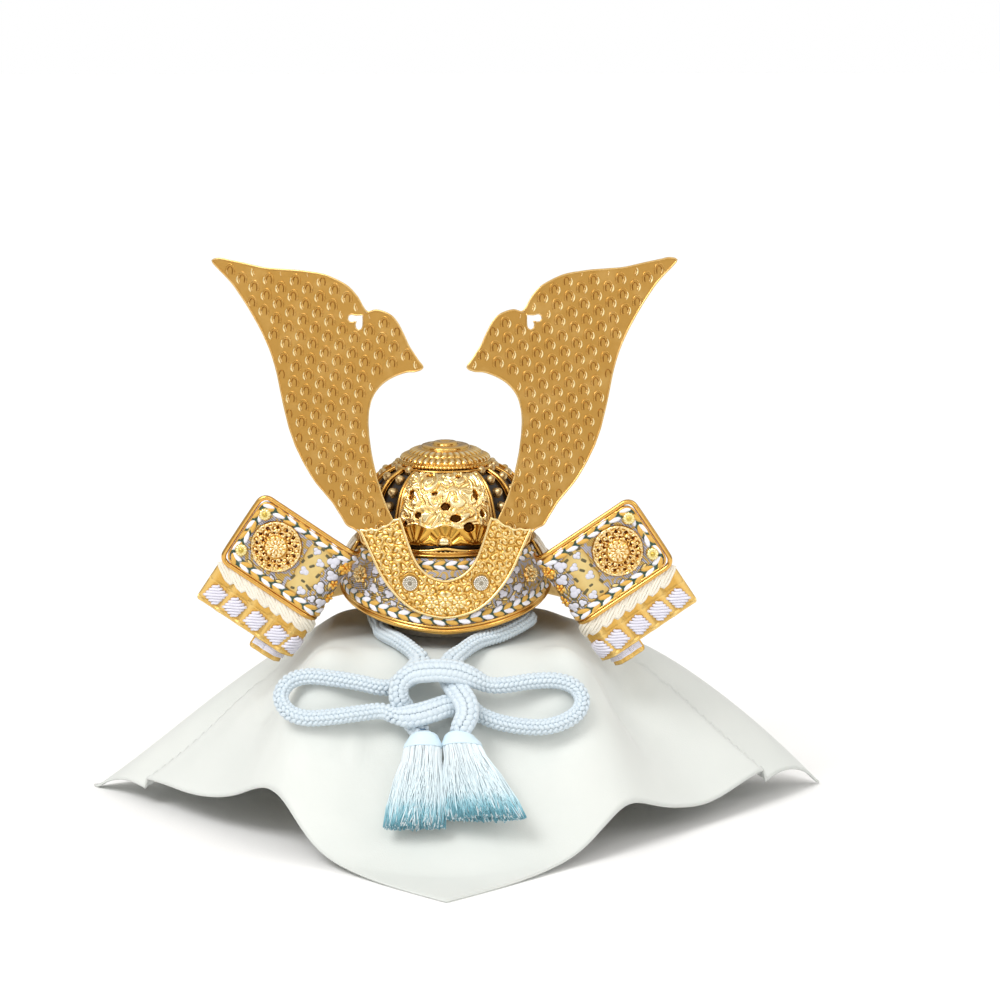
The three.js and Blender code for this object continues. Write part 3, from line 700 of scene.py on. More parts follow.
def tassel_thread():
    """Loose silk thread: nearly white at the head, dipped teal towards the cut ends."""
    made, tree, shader = finish("dip_dyed_silk_thread", roughness=0.5, sheen_weight=0.3, sheen_roughness=0.4)
    shade = add(tree, "ShaderNodeAttribute", attribute_name="shade").outputs["Fac"]
    dip = [
        (0.0, "#D4E8F3"), (0.2, "#F0F9FD"), (0.72, "#E2F3F9"), (0.83, "#A9D6E2"), (0.92, "#7AB9C9"),
        (1.0, "#6BA9BB"),
    ]
    tone = add(tree, "ShaderNodeValToRGB", {"Fac": shade}, dip)
    tree.links.new(tone.outputs["Color"], shader.inputs["Base Color"])
    where = add(tree, "ShaderNodeTexCoord").outputs["Object"]
    fuzz = add(tree, "ShaderNodeTexNoise", {"Vector": where, "Scale": 1500.0, "Detail": 1.0})
    bump = add(
        tree, "ShaderNodeBump", {"Height": fuzz.outputs["Fac"], "Strength": 0.2, "Distance": 0.05 * MM}
    )
    tree.links.new(bump.outputs["Normal"], shader.inputs["Normal"])
    return made


CREPE = silk_crepe()
BOARD = covered_board()
LACQUER = urushi()
BROCADE = brocade()
THREAD = tassel_thread()

# ---------------------------------------------------------------- camera

view_from = Vector((0.0, -2.1, 0.563))
view_to = Vector((0.0308, 0.0, 0.1776))
lens = bpy.data.cameras.new("camera")
lens.sensor_width = 36.0
lens.lens = 136.44
viewer = bpy.data.objects.new("camera", lens)
viewer.location = view_from
viewer.rotation_euler = (view_to - view_from).to_track_quat("-Z", "Y").to_euler()
bpy.context.scene.collection.objects.link(viewer)
bpy.context.scene.camera = viewer

# ---------------------------------------------------------------- chin cord

CORD_RADIUS = 4.4
CORD_LIE = 109.4
# One cord from tassel to tassel: up through the knot, round behind the post, and through both loops.
TAIL_RIGHT = [(6.8, -109.6, 69.0), (8.6, -110.0, 73.4), (11.4, -108.2, 78.9), (11.2, -105.2, 84.4)]
TAIL_RIGHT += [(7.4, -99.6, 89.8), (3.2, -91.0, 93.8), (1.6, -85.4, 98.8)]
LEAD_RIGHT = [(3.6, -80.4, 103.4), (9, -73, 106.6), (17.4, -61, 109.6), (30, -47.5, 110.6)]
LEAD_RIGHT += [(40, -35, 112.6), (45, -26, 113.6)]
CORD_MIDDLE = [(47, -14, 112.4), (46, -4, 110.4), (42, 14, CORD_LIE), (33, 32, CORD_LIE), (18, 43, CORD_LIE)]
CORD_MIDDLE += [(0, 46, CORD_LIE), (-18, 43, CORD_LIE), (-33, 32, CORD_LIE), (-40, 14, CORD_LIE)]
CORD_MIDDLE += [(-39, -4, CORD_LIE), (-37, -20, CORD_LIE)]
LEAD_LEFT = [(-36, -32, CORD_LIE), (-32, -44, CORD_LIE), (-26, -58, CORD_LIE), (-18, -71, 106.4)]
LEAD_LEFT += [(-14.0, -79.6, 103.0), (-16.5, -84.8, 98.6), (-22.2, -86.4, 94.4), (-28.4, -88.6, 90.8)]
LOOP_LEFT = [(-35.0, -89.2, 90.4), (-46, -87, 92.4), (-60, -84.4, 94.2), (-77, -81.0, 94.8)]
LOOP_LEFT += [
    (-86.2, -81.2, 91.4), (-90.2, -84.2, 84.4), (-86.2, -89.2, 77.4), (-77, -92.4, 74.4), (-62, -94.4, 75.4)
]
LOOP_LEFT += [(-48, -96.2, 77.6)]
STRAP_LOW = [(-34, -99, 79.6), (-27.0, -104.6, 78.2), (-18.2, -106.5, 78.6), (-7.5, -104.4, 80.9)]
STRAP_LOW += [(1.0, -99.2, 82.4), (8.6, -95.6, 81.4), (17.0, -95.8, 77.4)]
LOOP_RIGHT = [
    (27, -97.6, 73.4), (40.2, -98.2, 70.8), (54, -97.6, 70.2), (64.4, -95.4, 72.6), (72.2, -91.8, 77.2)
]
LOOP_RIGHT += [
    (74.4, -87.8, 83.4), (70.4, -85.2, 89.4), (62, -84.4, 92.6), (48, -85.6, 93.0), (34.4, -89.0, 91.8)
]
STRAP_HIGH = [(23.4, -91.4, 92.2), (14.8, -94.4, 96.8), (7.7, -95.9, 99.9), (0.1, -96.6, 101.3)]
STRAP_HIGH += [(-9.6, -96.4, 101.3), (-18.9, -96.2, 99.4), (-24.8, -97.2, 94.2), (-25.4, -97.7, 86.5)]
STRAP_HIGH += [(-21.6, -96.6, 78.9), (-17.2, -100.8, 72.4), (-12.6, -107.2, 68.6)]
CORD_LEADS = TAIL_RIGHT + LEAD_RIGHT + CORD_MIDDLE + LEAD_LEFT
CORD_ROUTE = CORD_LEADS + LOOP_LEFT + STRAP_LOW + LOOP_RIGHT + STRAP_HIGH
KNOT_FACING = np.array([0, -0.864, 0.503])
KNOT_CENTRE = (-4.0, 87.0)
KNOT_SPREAD = 0.66
# The braid spreads fully inside the first distance from the knot's middle, and not past the second.
KNOT_REACH = (17, 27)
SMOOTHING_PASSES = 12
# The plaits' middles lie at this share of the radius.
PLAIT_LIE = 0.72
PLAIT_COLUMNS = 8
PLAIT_STEP = 2.75
PLAIT_LEAN = 36
PLAIT_HALF_LONG, PLAIT_HALF_WIDE, PLAIT_HIGH = 2.2, 1.4, 1.5


def chin_cord():
    """A round eight-plait silk braid: fat plaits in eight columns that lean left and right in turn."""
    rough = np.array(CORD_ROUTE, float)
    whole = length_of(through(rough, 2000))
    line = through(rough, int(whole / 0.5))
    for _ in range(SMOOTHING_PASSES):
        line[1:-1] = (line[:-2] + 2 * line[1:-1] + line[2:]) / 4
    whole = length_of(line)
    run = runs_along(line)
    tangent = unit(np.gradient(line, axis=0))
    side = unit(np.cross(tangent, KNOT_FACING))
    # Pulled tight in the knot, the braid flattens and spreads against its neighbours.
    off_knot = np.hypot(line[:, 0] - KNOT_CENTRE[0], (line[:, 2] - KNOT_CENTRE[1]) * 1.15)
    spread = 1 + KNOT_SPREAD * (1 - smooth(*KNOT_REACH, off_knot))
    # The core is painted dark, as the shade in the gaps between the plaits.
    core = strands(line[::4], CORD_RADIUS * PLAIT_LIE, sides=10, up=KNOT_FACING, shade=0.0)
    # A plait is 4.4 mm long and 2.8 mm wide, so the plaits of a column overlap.
    rows = int(whole / PLAIT_STEP)
    row, column = np.meshgrid(np.arange(rows), np.arange(PLAIT_COLUMNS), indexing="ij")
    row, column = row.ravel(), column.ravel()
    where = (row + 0.5 * (column % 2) + 0.25) * PLAIT_STEP
    keep = where < whole - 0.6
    where, column = where[keep], column[keep]
    at = sampled(where, run, line)
    along = unit(sampled(where, run, tangent))
    across = unit(sampled(where, run, side))
    above = np.cross(across, along)
    turn = 2 * np.pi * (column + 0.5) / PLAIT_COLUMNS
    wider = np.interp(where, run, spread)
    outside = across * np.cos(turn)[:, None] + above * np.sin(turn)[:, None]
    around = np.cross(outside, along)
    lean = np.where(column % 2 == 0, 1, -1) * math.radians(PLAIT_LEAN)
    length = along * np.cos(lean)[:, None] + around * np.sin(lean)[:, None]
    width = np.cross(outside, length)
    centres = at + across * (CORD_RADIUS * PLAIT_LIE * wider * np.cos(turn))[:, None]
    centres = centres + above * (CORD_RADIUS * PLAIT_LIE * np.sin(turn))[:, None]
    long, wide = PLAIT_HALF_LONG * wider**0.5, PLAIT_HALF_WIDE * wider
    axes = np.stack([length * long[:, None], width * wide[:, None], outside * PLAIT_HIGH], 1)
    chance = np.random.default_rng(7).uniform(0.6, 0.95, len(centres))
    plaits = copies(bead(7, 3), centres, axes, chance)
    made = piece(
        "chin_cord",
        [(CORD_SILK, [core, plaits])],
        [
            "cord_middle",
            "cord_lead_left",
            "cord_lead_right",
            "cord_loop_left",
            "cord_loop_right",
            "cord_knot",
        ],
    )
    return made, line, whole


bow, bow_line, bow_length = chin_cord()

TASSEL_ROWS = np.array(
    [
        # share of the length, half width, half depth
        [0, 3.4, 3.4], [0.05, 7.2, 5.6], [0.14, 9.8, 6.8], [0.22, 10.6, 7.2], [0.3, 10.9, 7],
        [0.5, 14.2, 6.8], [0.8, 17, 6.2], [1, 17.6, 5.2],
    ]
)
THREADS, THREAD_STEPS, THREAD_RADIUS = 900, 11, 0.33
CORE_ROWS, CORE_SIDES, CORE_SHARE = 24, 32, 0.8
CAP_HOOPS, CAP_RADIUS = 12, 0.62


def tassel(name, node, head, foot, spread, seed):
    """A silk tassel: threads that hang from a capped, domed head and are combed out into a fan."""
    head, foot = np.array(head, float), np.array(foot, float)
    down = foot - head
    wide = np.array([1.0, 0, 0])
    deep = unit(np.cross(down, wide))
    chance = np.random.default_rng(seed)
    count = THREADS
    turn = chance.uniform(0, 2 * np.pi, count)
    depth = np.sqrt(chance.uniform(0.35, 1, count))
    reach = 1 + chance.normal(0, 0.012, count)
    share = np.linspace(0.0, 1, THREAD_STEPS)[None, :] * reach[:, None]
    share = np.clip(share, 0, 1.03)
    half_wide = np.interp(share, TASSEL_ROWS[:, 0], TASSEL_ROWS[:, 1]) * mix(1, spread, share)
    half_deep = np.interp(share, TASSEL_ROWS[:, 0], TASSEL_ROWS[:, 2])
    drift = chance.normal(0, 0.35, (count, 1)) * share**2
    turn = turn[:, None] + drift
    curl = 0.5 * np.sin(6 * share + chance.uniform(0, 6, (count, 1))) * share
    paths = (
        head
        + down * share[..., None]
        + wide * (half_wide * depth[:, None] * np.cos(turn) + curl)[..., None]
        + deep * (half_deep * depth[:, None] * np.sin(turn))[..., None]
    )
    # The dip reaches a little further up some threads, and some cut ends are painted pale, a painted glint
    # of white light.
    tone = np.clip(share - 0.02 + chance.normal(0, 0.03, (count, 1)), 0, 1)
    pale = (chance.uniform(0, 1, (count, 1)) < 0.3) & (share > 0.9)
    tone = np.where(pale, 0.4, tone)
    threads = strands(paths, THREAD_RADIUS, sides=3, up=(0, -1, 0.3), shade=tone)
    rows = np.linspace(0.02, 0.96, CORE_ROWS)
    ring = full_turn(CORE_SIDES)
    w = np.interp(rows, TASSEL_ROWS[:, 0], TASSEL_ROWS[:, 1]) * mix(1, spread, rows) * CORE_SHARE
    d = np.interp(rows, TASSEL_ROWS[:, 0], TASSEL_ROWS[:, 2]) * CORE_SHARE
    core = (head + down * rows[:, None])[:, None] + (
        (w[:, None] * np.cos(ring))[..., None] * wide + (d[:, None] * np.sin(ring))[..., None] * deep
    )
    n = CORE_ROWS * CORE_SIDES
    k = np.arange(CORE_SIDES)
    caps = np.concatenate([fan(n, k, under=True), fan(n + 1, n - CORE_SIDES + k)])
    points = np.concatenate([core.reshape(-1, 3), [head + down * rows[0], head + down * rows[-1]]])
    shade = np.concatenate([np.repeat(np.clip(rows + 0.1, 0, 1), CORE_SIDES), [0, 1]])
    inner = outward(Form(points, [grid_faces(CORE_ROWS, CORE_SIDES, wrap_columns=True), caps], shade=shade))
    # A smooth cap of wound silk covers the dome.
    cap = []
    for at in np.linspace(0.03, 0.165, CAP_HOOPS):
        w, d = (np.interp(at, TASSEL_ROWS[:, 0], TASSEL_ROWS[:, k]) for k in (1, 2))
        loop = wide * (w * mix(1, spread, at) * np.cos(ring))[:, None] + deep * (d * np.sin(ring))[:, None]
        cap.append(hoop(head + down * at + loop, CAP_RADIUS, shade=0.0))
    groups = [(THREAD, [threads, inner] + cap)]
    return piece(name, groups, [node])


left_tassel = tassel("left_tassel", "tassel_left", (-11.6, -109.4, 70.4), (-16.8, -136, 25), 0.94, 3)
right_tassel = tassel("right_tassel", "tassel_right", (6.2, -109.4, 70.4), (21.4, -136, 29.6), 1.24, 4)

# ---------------------------------------------------------------- display cloth

CLOTH_THICK = 1.0
CLOTH_LOW = 0.3
CLOTH_FOOT = CLOTH_LOW + 0.7
CLOTH_FLAT = 346
BOX_HEIGHT = middle("stand_box")[2] * 2
CLOTH_LIE = BOX_HEIGHT + 0.6
SIDE = {"right": 218, "left": 205, "front": 196, "back": 165, "setback": 46}

# Under the bow's loops the cloth stands up in a shoulder: how high, at what angle off the side, how wide.
SHOULDER_RISE, SHOULDER_WAY, SHOULDER_SPREAD = 26, 46, 12

# Each crease is a line in plan from one point to another, a half width, and how deep it is. Below
# nought it stands up as a soft ridge.
CREASES = [
    (18, -97, 46, -97, 4.5, 3.0), (42, -97, 78, -84, 4.5, 4.0), (76, -86, 84, -66, 5, 4.0),
    (30, -109, 80, -96, 7, -3.0), (-99, -74, -70, -95, 5, 3.0), (-74, -92, -52, -90, 5, 3.0),
    (-46, -91, -22, -105, 5, 4.0), (-90, -92, -50, -104, 7, -2.5), (94, -56, 102, -6, 9, 9.0),
    (-97, -50, -101, 0, 9, 6.0),
]


def cloth_share(x, y):
    """How far the cloth has fallen at a plan point, 1 on the box and 0 on the floor."""
    radius = np.maximum(np.hypot(x, y), 1.0)
    cos, sin = x / radius, y / radius
    edge = ((cos / 64) ** 4 + (sin / 60) ** 4) ** -0.25
    off_corner = np.degrees(np.arctan2(y - 0.2 * np.abs(x), np.abs(x)))
    side = np.exp(-((off_corner / 19) ** 2))
    side_reach = np.where(x > 0, SIDE["right"] + 4, SIDE["left"] + 2)
    front_reach = np.where(y < 0, 172 + 24 * np.clip(-sin, 0, 1) ** 6, 138)
    t = (radius - edge) / (mix(front_reach, side_reach, side) - edge)
    front_weight = np.clip(-sin, 0, 1) ** 3
    fall = mix(1 - smooth(-0.02, 0.94, t), 1 - smooth(-0.04, 0.7, t), front_weight)
    ridge = 1 - np.clip(t, 0, 1) ** np.where(x > 0, 1.7, 1.2)
    return np.maximum(0, mix(fall, ridge, side))


def cloth_height(x, y):
    """The height of the cloth's middle over a plan point other than the very centre."""
    radius = np.hypot(x, y)
    angle = np.arctan2(y, x)
    share = cloth_share(x, y)
    loose = 4 * share * (1 - share)
    folds = 3 * np.cos(6 * angle + 0.5) + 1.6 * np.cos(11 * angle + radius / 40)
    folds = 0.5 * (folds + np.sqrt(folds * folds + 2.5))
    turn = np.degrees(np.arctan2(-y, np.abs(x)))
    near = smooth(72, 104, radius) * (1 - smooth(112, 158, radius))
    shoulder = np.where(
        y < 0, SHOULDER_RISE * np.exp(-(((turn - SHOULDER_WAY) / SHOULDER_SPREAD) ** 2)) * near, 0
    )
    height = CLOTH_FOOT + CLOTH_LIE * share - loose * folds + shoulder
    for x1, y1, x2, y2, wide, deep in CREASES:
        # A crease is a shallow trough along a line, fading out at both ends.
        run = math.hypot(x2 - x1, y2 - y1)
        ax, ay = (x2 - x1) / run, (y2 - y1) / run
        along = ((x - x1) * ax + (y - y1) * ay) / run
        off = ((y - y1) * ax - (x - x1) * ay) / wide
        fade = smooth(-0.15, 0.25, along) * (1 - smooth(0.75, 1.15, along))
        # One side of the trough is steep, and the other eases out.
        height = height - deep * fade * np.exp(-np.where(off > 0, 1.8, 0.35) * off * off)
    return np.maximum(CLOTH_FOOT, height)


def display_cloth(cells=138):
    """A square of silk crepe with a narrow hem, laid cornerwise over the box."""
    u, v = np.meshgrid(np.linspace(0, 1, cells), np.linspace(0, 1, cells), indexing="ij")
    s, t = u - v, u + v - 1
    x = s * np.where(s > 0, SIDE["right"], SIDE["left"])
    y = t * np.where(t < 0, SIDE["front"], SIDE["back"]) + SIDE["setback"] * s * s
    points = np.stack([x, y, cloth_height(x, y)], -1)
    normal = unit(np.cross(np.gradient(points, axis=0), np.gradient(points, axis=1)))
    normal = np.where(normal[..., 2:] < 0, -normal, normal)
    # The hem is a 2 mm turning, a little thicker than the cloth.
    edge = np.minimum(np.minimum(u, 1 - u), np.minimum(v, 1 - v)) * CLOTH_FLAT
    half = 0.5 * CLOTH_THICK * (1 + 0.25 * (1 - smooth(2.0, 2.8, edge)))[..., None]
    cloth = plate(points + normal * half, points - normal * half, place=np.stack([u, v], -1) * CLOTH_FLAT)
    made = piece("display_cloth_silk", [(CREPE, [cloth])], ["display_cloth"])
    return made


display_cloth()

# ---------------------------------------------------------------- helmet helpers


def around(angle, radius, height):
    """Points about the bowl's axis; angles run from the front towards positive X."""
    angle, radius, height = np.broadcast_arrays(angle, radius, height)
    return np.stack([radius * np.sin(angle), -radius * np.cos(angle), height], -1)


def revolved(section, segments=160, shade=0.5):
    """A ring about Z from a closed section of [radius, height] rows."""
    section = np.asarray(section, float)
    angle = full_turn(segments)
    points = around(angle[:, None], section[:, 0], section[:, 1])
    return outward(Form(points, [grid_faces(segments, len(section), True, True)], shade=shade))


def scrollwork(across, up, pitch, arm, seed, border=0.8):
    """Curling tendrils, 0 in the ground to 1 on the crest: one spiral to a cell of a loose hexagon grid."""
    chance = np.random.default_rng(seed)
    low = np.array([across.min(), up.min()]) - pitch
    high = np.array([across.max(), up.max()]) + pitch
    rise = pitch * 0.87
    count_up = int((high[1] - low[1]) / rise) + 1
    count_across = int((high[0] - low[0]) / pitch) + 1
    row, column = np.meshgrid(np.arange(count_up), np.arange(count_across), indexing="ij")
    x = low[0] + (column + 0.5 * (row % 2)) * pitch
    y = low[1] + row * rise
    eyes = np.stack([x.ravel(), y.ravel()], -1) + chance.normal(0, 0.1 * pitch, (x.size, 2))
    hand = chance.choice([-1.0, 1.0], len(eyes))
    start = chance.uniform(0, 1, len(eyes))
    here = np.stack([across.ravel(), up.ravel()], -1)
    apart = here[:, None] - eyes[None]
    far = np.hypot(apart[..., 0], apart[..., 1])
    order = np.argsort(far, axis=1)[:, :2]
    rows = np.arange(len(here))
    near, second = far[rows, order[:, 0]], far[rows, order[:, 1]]
    away = apart[rows, order[:, 0]]
    turns = near / arm - hand[order[:, 0]] * np.arctan2(
        away[:, 1], away[:, 0]
    ) / (2 * np.pi) + start[order[:, 0]]
    curl = smooth(-0.35, 0.75, np.cos(2 * np.pi * turns))
    eye = 1 - smooth(0.16 * arm, 0.4 * arm, near)
    stem = 1 - smooth(0.1 * border, border, second - near)
    inside = smooth(0.2 * border, border, second - near)
    return np.maximum(np.maximum(curl * inside, eye), 0.8 * stem).reshape(across.shape)


def braid(path, out, width, period, high=0.8):
    """A flat silk braid laid along a path, with dark green threads crossing between its arrowheads.

    An arrowhead is one white and one ochre plait, and the two change sides at each arrowhead.
    """
    run = runs_along(path)
    count = 2 * int(round(run[-1] / period / 2))
    period = run[-1] / count
    along = unit(np.gradient(path, axis=0))
    out = unit(out - along * np.sum(out * along, -1, keepdims=True))
    across = np.cross(out, along)
    grains = {"white": [], "ochre": [], "green": []}

    def laid_down(where, row, degrees, half_long, half_wide, raised, side_by):
        centre, length, side, top = (sampled(where, run, v) for v in (path, along, across, out))
        length, side, top = unit(length), unit(side), unit(top)
        lean = math.radians(degrees) * row
        leaning = length * math.cos(lean) + side * math.sin(lean)
        axes = np.stack([leaning * half_long, np.cross(top, leaning) * half_wide, top * raised], 1)
        return copies(bead(8, 2, -10), centre + side * row * side_by, axes, 0.6)

    for row in (-1, 1):
        for dye, first in (("white", (1 - row) // 2), ("ochre", (1 + row) // 2)):
            where = (np.arange(first, count, 2) + 0.5) * period
            grains[dye].append(laid_down(where, row, 15, 0.6 * period, 0.32 * width, high, 0.235 * width))
        where = (np.arange(count) + 0.98) * period
        where = where[where < run[-1] - 0.2 * period]
        grains["green"].append(laid_down(where, row, 36, 0.25 * period, 0.3, high * 1.15, 0.22 * width))
    bed = strands(path, width * 0.5, high * 0.35, sides=8, up=out, shade=0.3)
    return [
        (WHITE_SILK, grains["white"]), (OCHRE_SILK, grains["ochre"]), (GREEN_SILK, grains["green"] + [bed])
    ]


def gathered(groups):
    """Groups of the same finish put together."""
    order = []
    forms = {}
    for look, made in groups:
        if look.name not in forms:
            forms[look.name] = []
            order.append(look)
        forms[look.name] += made
    return [(look, forms[look.name]) for look in order]


def placed(name, groups, nodes, plain):
    """A piece whose plain outline stands where its CAD node's box stands."""
    shift = seat(plain, nodes[0])
    return piece(
        name,
        gathered([(look, [f.moved(shift=shift) for f in forms]) for look, forms in groups]),
        nodes,
    )


def pair(name, groups, nodes, plain, stand_in=True):
    """Both of a pair of pieces: the left one as given, the right one mirrored."""
    plain = np.reshape(plain, (-1, 3))
    for side, over in (("left", np.eye(3)), ("right", MIRROR)):
        here = [node + "_" + side for node in nodes]
        shift = seat(plain @ over.T, here[0])
        moved = [(look, [form.moved(over, shift) for form in forms]) for look, forms in groups]
        piece(side + "_" + name, gathered(moved), here if stand_in else ())


# ---------------------------------------------------------------- bowl, ribs and rivets

BOWL_ROWS = [(45, 150), (45.6, 160), (44.8, 170), (42.8, 179), (39.8, 186.5), (34.5, 192.8), (26, 197.4)]
BOWL_ROWS += [(15, 200.2), (0.01, 201.6)]
BOWL = through(BOWL_ROWS, 70)
BOWL_WALL = 2.0
RIB_ANGLES = (36, 56.6, 77.1, 97.7, 118.3, 138.9, 159.4)


def bowl_radius(height):
    return np.interp(height, BOWL[:, 1], BOWL[:, 0])


def bowl_at(run):
    """Radius, height and outward slope (radial, upright) at a run up the bowl's side from its foot."""
    runs = runs_along(BOWL)
    step = unit(np.gradient(BOWL, axis=0))
    radius, height = np.interp(run, runs, BOWL[:, 0]), np.interp(run, runs, BOWL[:, 1])
    rise_r, rise_z = np.interp(run, runs, step[:, 0]), np.interp(run, runs, step[:, 1])
    return radius, height, rise_z, -rise_r


def run_at(height):
    runs = runs_along(BOWL)
    return float(np.interp(height, BOWL[:, 1], runs))


def bowl():
    rise = np.clip((BOWL[:, 1] - 150) / 51.6, 0, 1) * BOWL_WALL
    inside = np.stack([np.maximum(0.01, BOWL[:, 0] - BOWL_WALL + 0.3 * rise), BOWL[:, 1] - rise], -1)
    shell = turned(np.concatenate([inside[::-4], BOWL[::2], BOWL[-1:]]), 72)
    rib_angles = np.radians(np.concatenate([RIB_ANGLES, [180]]))
    gaps = (rib_angles[1:] + rib_angles[:-1]) / 2
    gaps = np.concatenate([gaps, -gaps])
    runs = run_at(163.0) + 8.2 * np.arange(6)
    gap, run = np.meshgrid(gaps, runs, indexing="ij")
    radius, height, out_r, out_z = bowl_at(run.ravel())
    keep = radius * math.radians(10.3) > 2.9
    gap, radius, height = gap.ravel()[keep], radius[keep], height[keep]
    outside = around(gap, out_r[keep], out_z[keep])
    level = around(gap + math.pi / 2, 1.0, 0.0)
    upward = np.cross(outside, level)
    centres = around(gap, radius, height)
    domes = copies(bead(12, 5, 0), centres, np.stack([level * 2.75, upward * 2.75, outside * 3.7], 1), 0.6)
    collars = copies(bead(12, 1, 0), centres, np.stack([level * 3.2, upward * 3.2, outside * 0.5], 1), 0.2)
    plain = around(np.linspace(0, 2 * np.pi, 60)[:, None], BOWL[:, 0], BOWL[:, 1])
    placed(
        "lacquered_bowl", [(LACQUER, [shell]), (RIVET_GOLD, [domes, collars])], ["bowl"], plain
    )


def bowl_ribs():
    heights = np.concatenate([np.linspace(158.4, 186, 14), np.linspace(187.5, 198.2, 12)])
    angles = np.radians(np.concatenate([RIB_ANGLES, [180], -np.array(RIB_ANGLES)]))[:, None]
    radius = bowl_radius(heights) + 1.45
    ribs = strands(around(angles, radius + 0.4, heights + 0.3), 0.8, 1.5, up=around(angles, 1, 0), shade=0.5)
    # Each rib has a fine wire soldered along both of its feet.
    wires = []
    for side in (-1, 1):
        beside = angles + side * 1.35 / np.maximum(radius, 20)
        wires.append(
            strands(
                around(beside, radius - 0.5, heights + 0.3),
                0.3, sides=5,
                up=around(angles, 1, 0),
                shade=0.25,
            )
        )
    ring = np.linspace(0, 2 * np.pi, 180, endpoint=False)
    behind = np.linspace(math.radians(34), math.radians(326), 160)
    low = strands(around(behind, 47.1, 158.4), 0.9, 1.1, sides=8, up=(0, 0, 1))
    high = hoop(around(ring, 28.4, 198.5), 1.0, 0.8)
    plain = around(ring[:, None], np.array([48.0, 28.4]), np.array([157.6, 199.2]))
    placed("bowl_rib_frame", [(BRIGHT_GOLD, [ribs, low, high] + wires)], ["bowl_ribs"], plain)


def waist_band():
    """A moulded band at the bowl's foot, with a rolled edge, a groove and a beaded line."""
    section = [
        (45.6, 149.4), (46.3, 149.4), (46.6, 153.8), (48.0, 154.0), (48.7, 154.4), (48.9, 154.9),
        (48.6, 155.4),
    ]
    section += [
        (48.0, 155.6), (47.9, 155.9), (48.5, 156.1), (48.8, 156.6), (48.5, 157.1), (47.6, 157.3),
        (45.9, 157.2),
    ]
    ring = revolved(section, 144, 0.55)
    count = 120
    angle = full_turn(count)
    centres = around(angle, 48.0, 157.2)
    axes = np.stack(
        [around(angle + math.pi / 2, 0.95, 0), np.tile([0, 0, 0.45], (count, 1)), around(angle, 0.6, 0)], 1
    )
    beads = copies(bead(6, 2, 0), centres, axes, 0.75)
    # A low arch rises over the band's middle, between two ends that turn up.
    lift = np.linspace(-0.66, 0.66, 60)
    rise = 157.4 + 1.6 * np.exp(-((lift / 0.16) ** 2)) + 1.2 * smooth(0.5, 0.66, np.abs(lift))
    arch = strands(around(lift, 48.4, rise), 0.5, 0.8, sides=8, up=(0, 0, 1), shade=0.7)
    plain = around(np.linspace(0, 2 * np.pi, 60)[:, None], np.array([45.4, 48.6]), np.array([149.4, 157.2]))
    placed("waist_band_moulded", [(BRIGHT_GOLD, [ring, beads, arch])], ["waist_band"], plain)


# Openings in the front plate's scrolls: degrees from the middle, height, half width, half height.
PLATE_HOLES = [(0, 180.8, 2.3, 2.0), (7, 174.8, 2.6, 1.9), (16, 169.8, 2.6, 2.4), (23, 186.0, 1.4, 2.8)]
PLATE_HOLES += [(-26, 186.0, 1.5, 2.4), (-15, 194.6, 2.4, 1.0), (12, 194.0, 2.0, 1.1), (-8, 187, 1.6, 1.2)]
PLATE_HOLES += [(-19, 176, 1.6, 1.6), (26, 176.5, 1.3, 2.0), (-28, 171, 1.2, 1.6)]
PLATE_HALF_ANGLE = 33
PLATE_RADIUS = 44.0
FAN_PITCH = 15.6


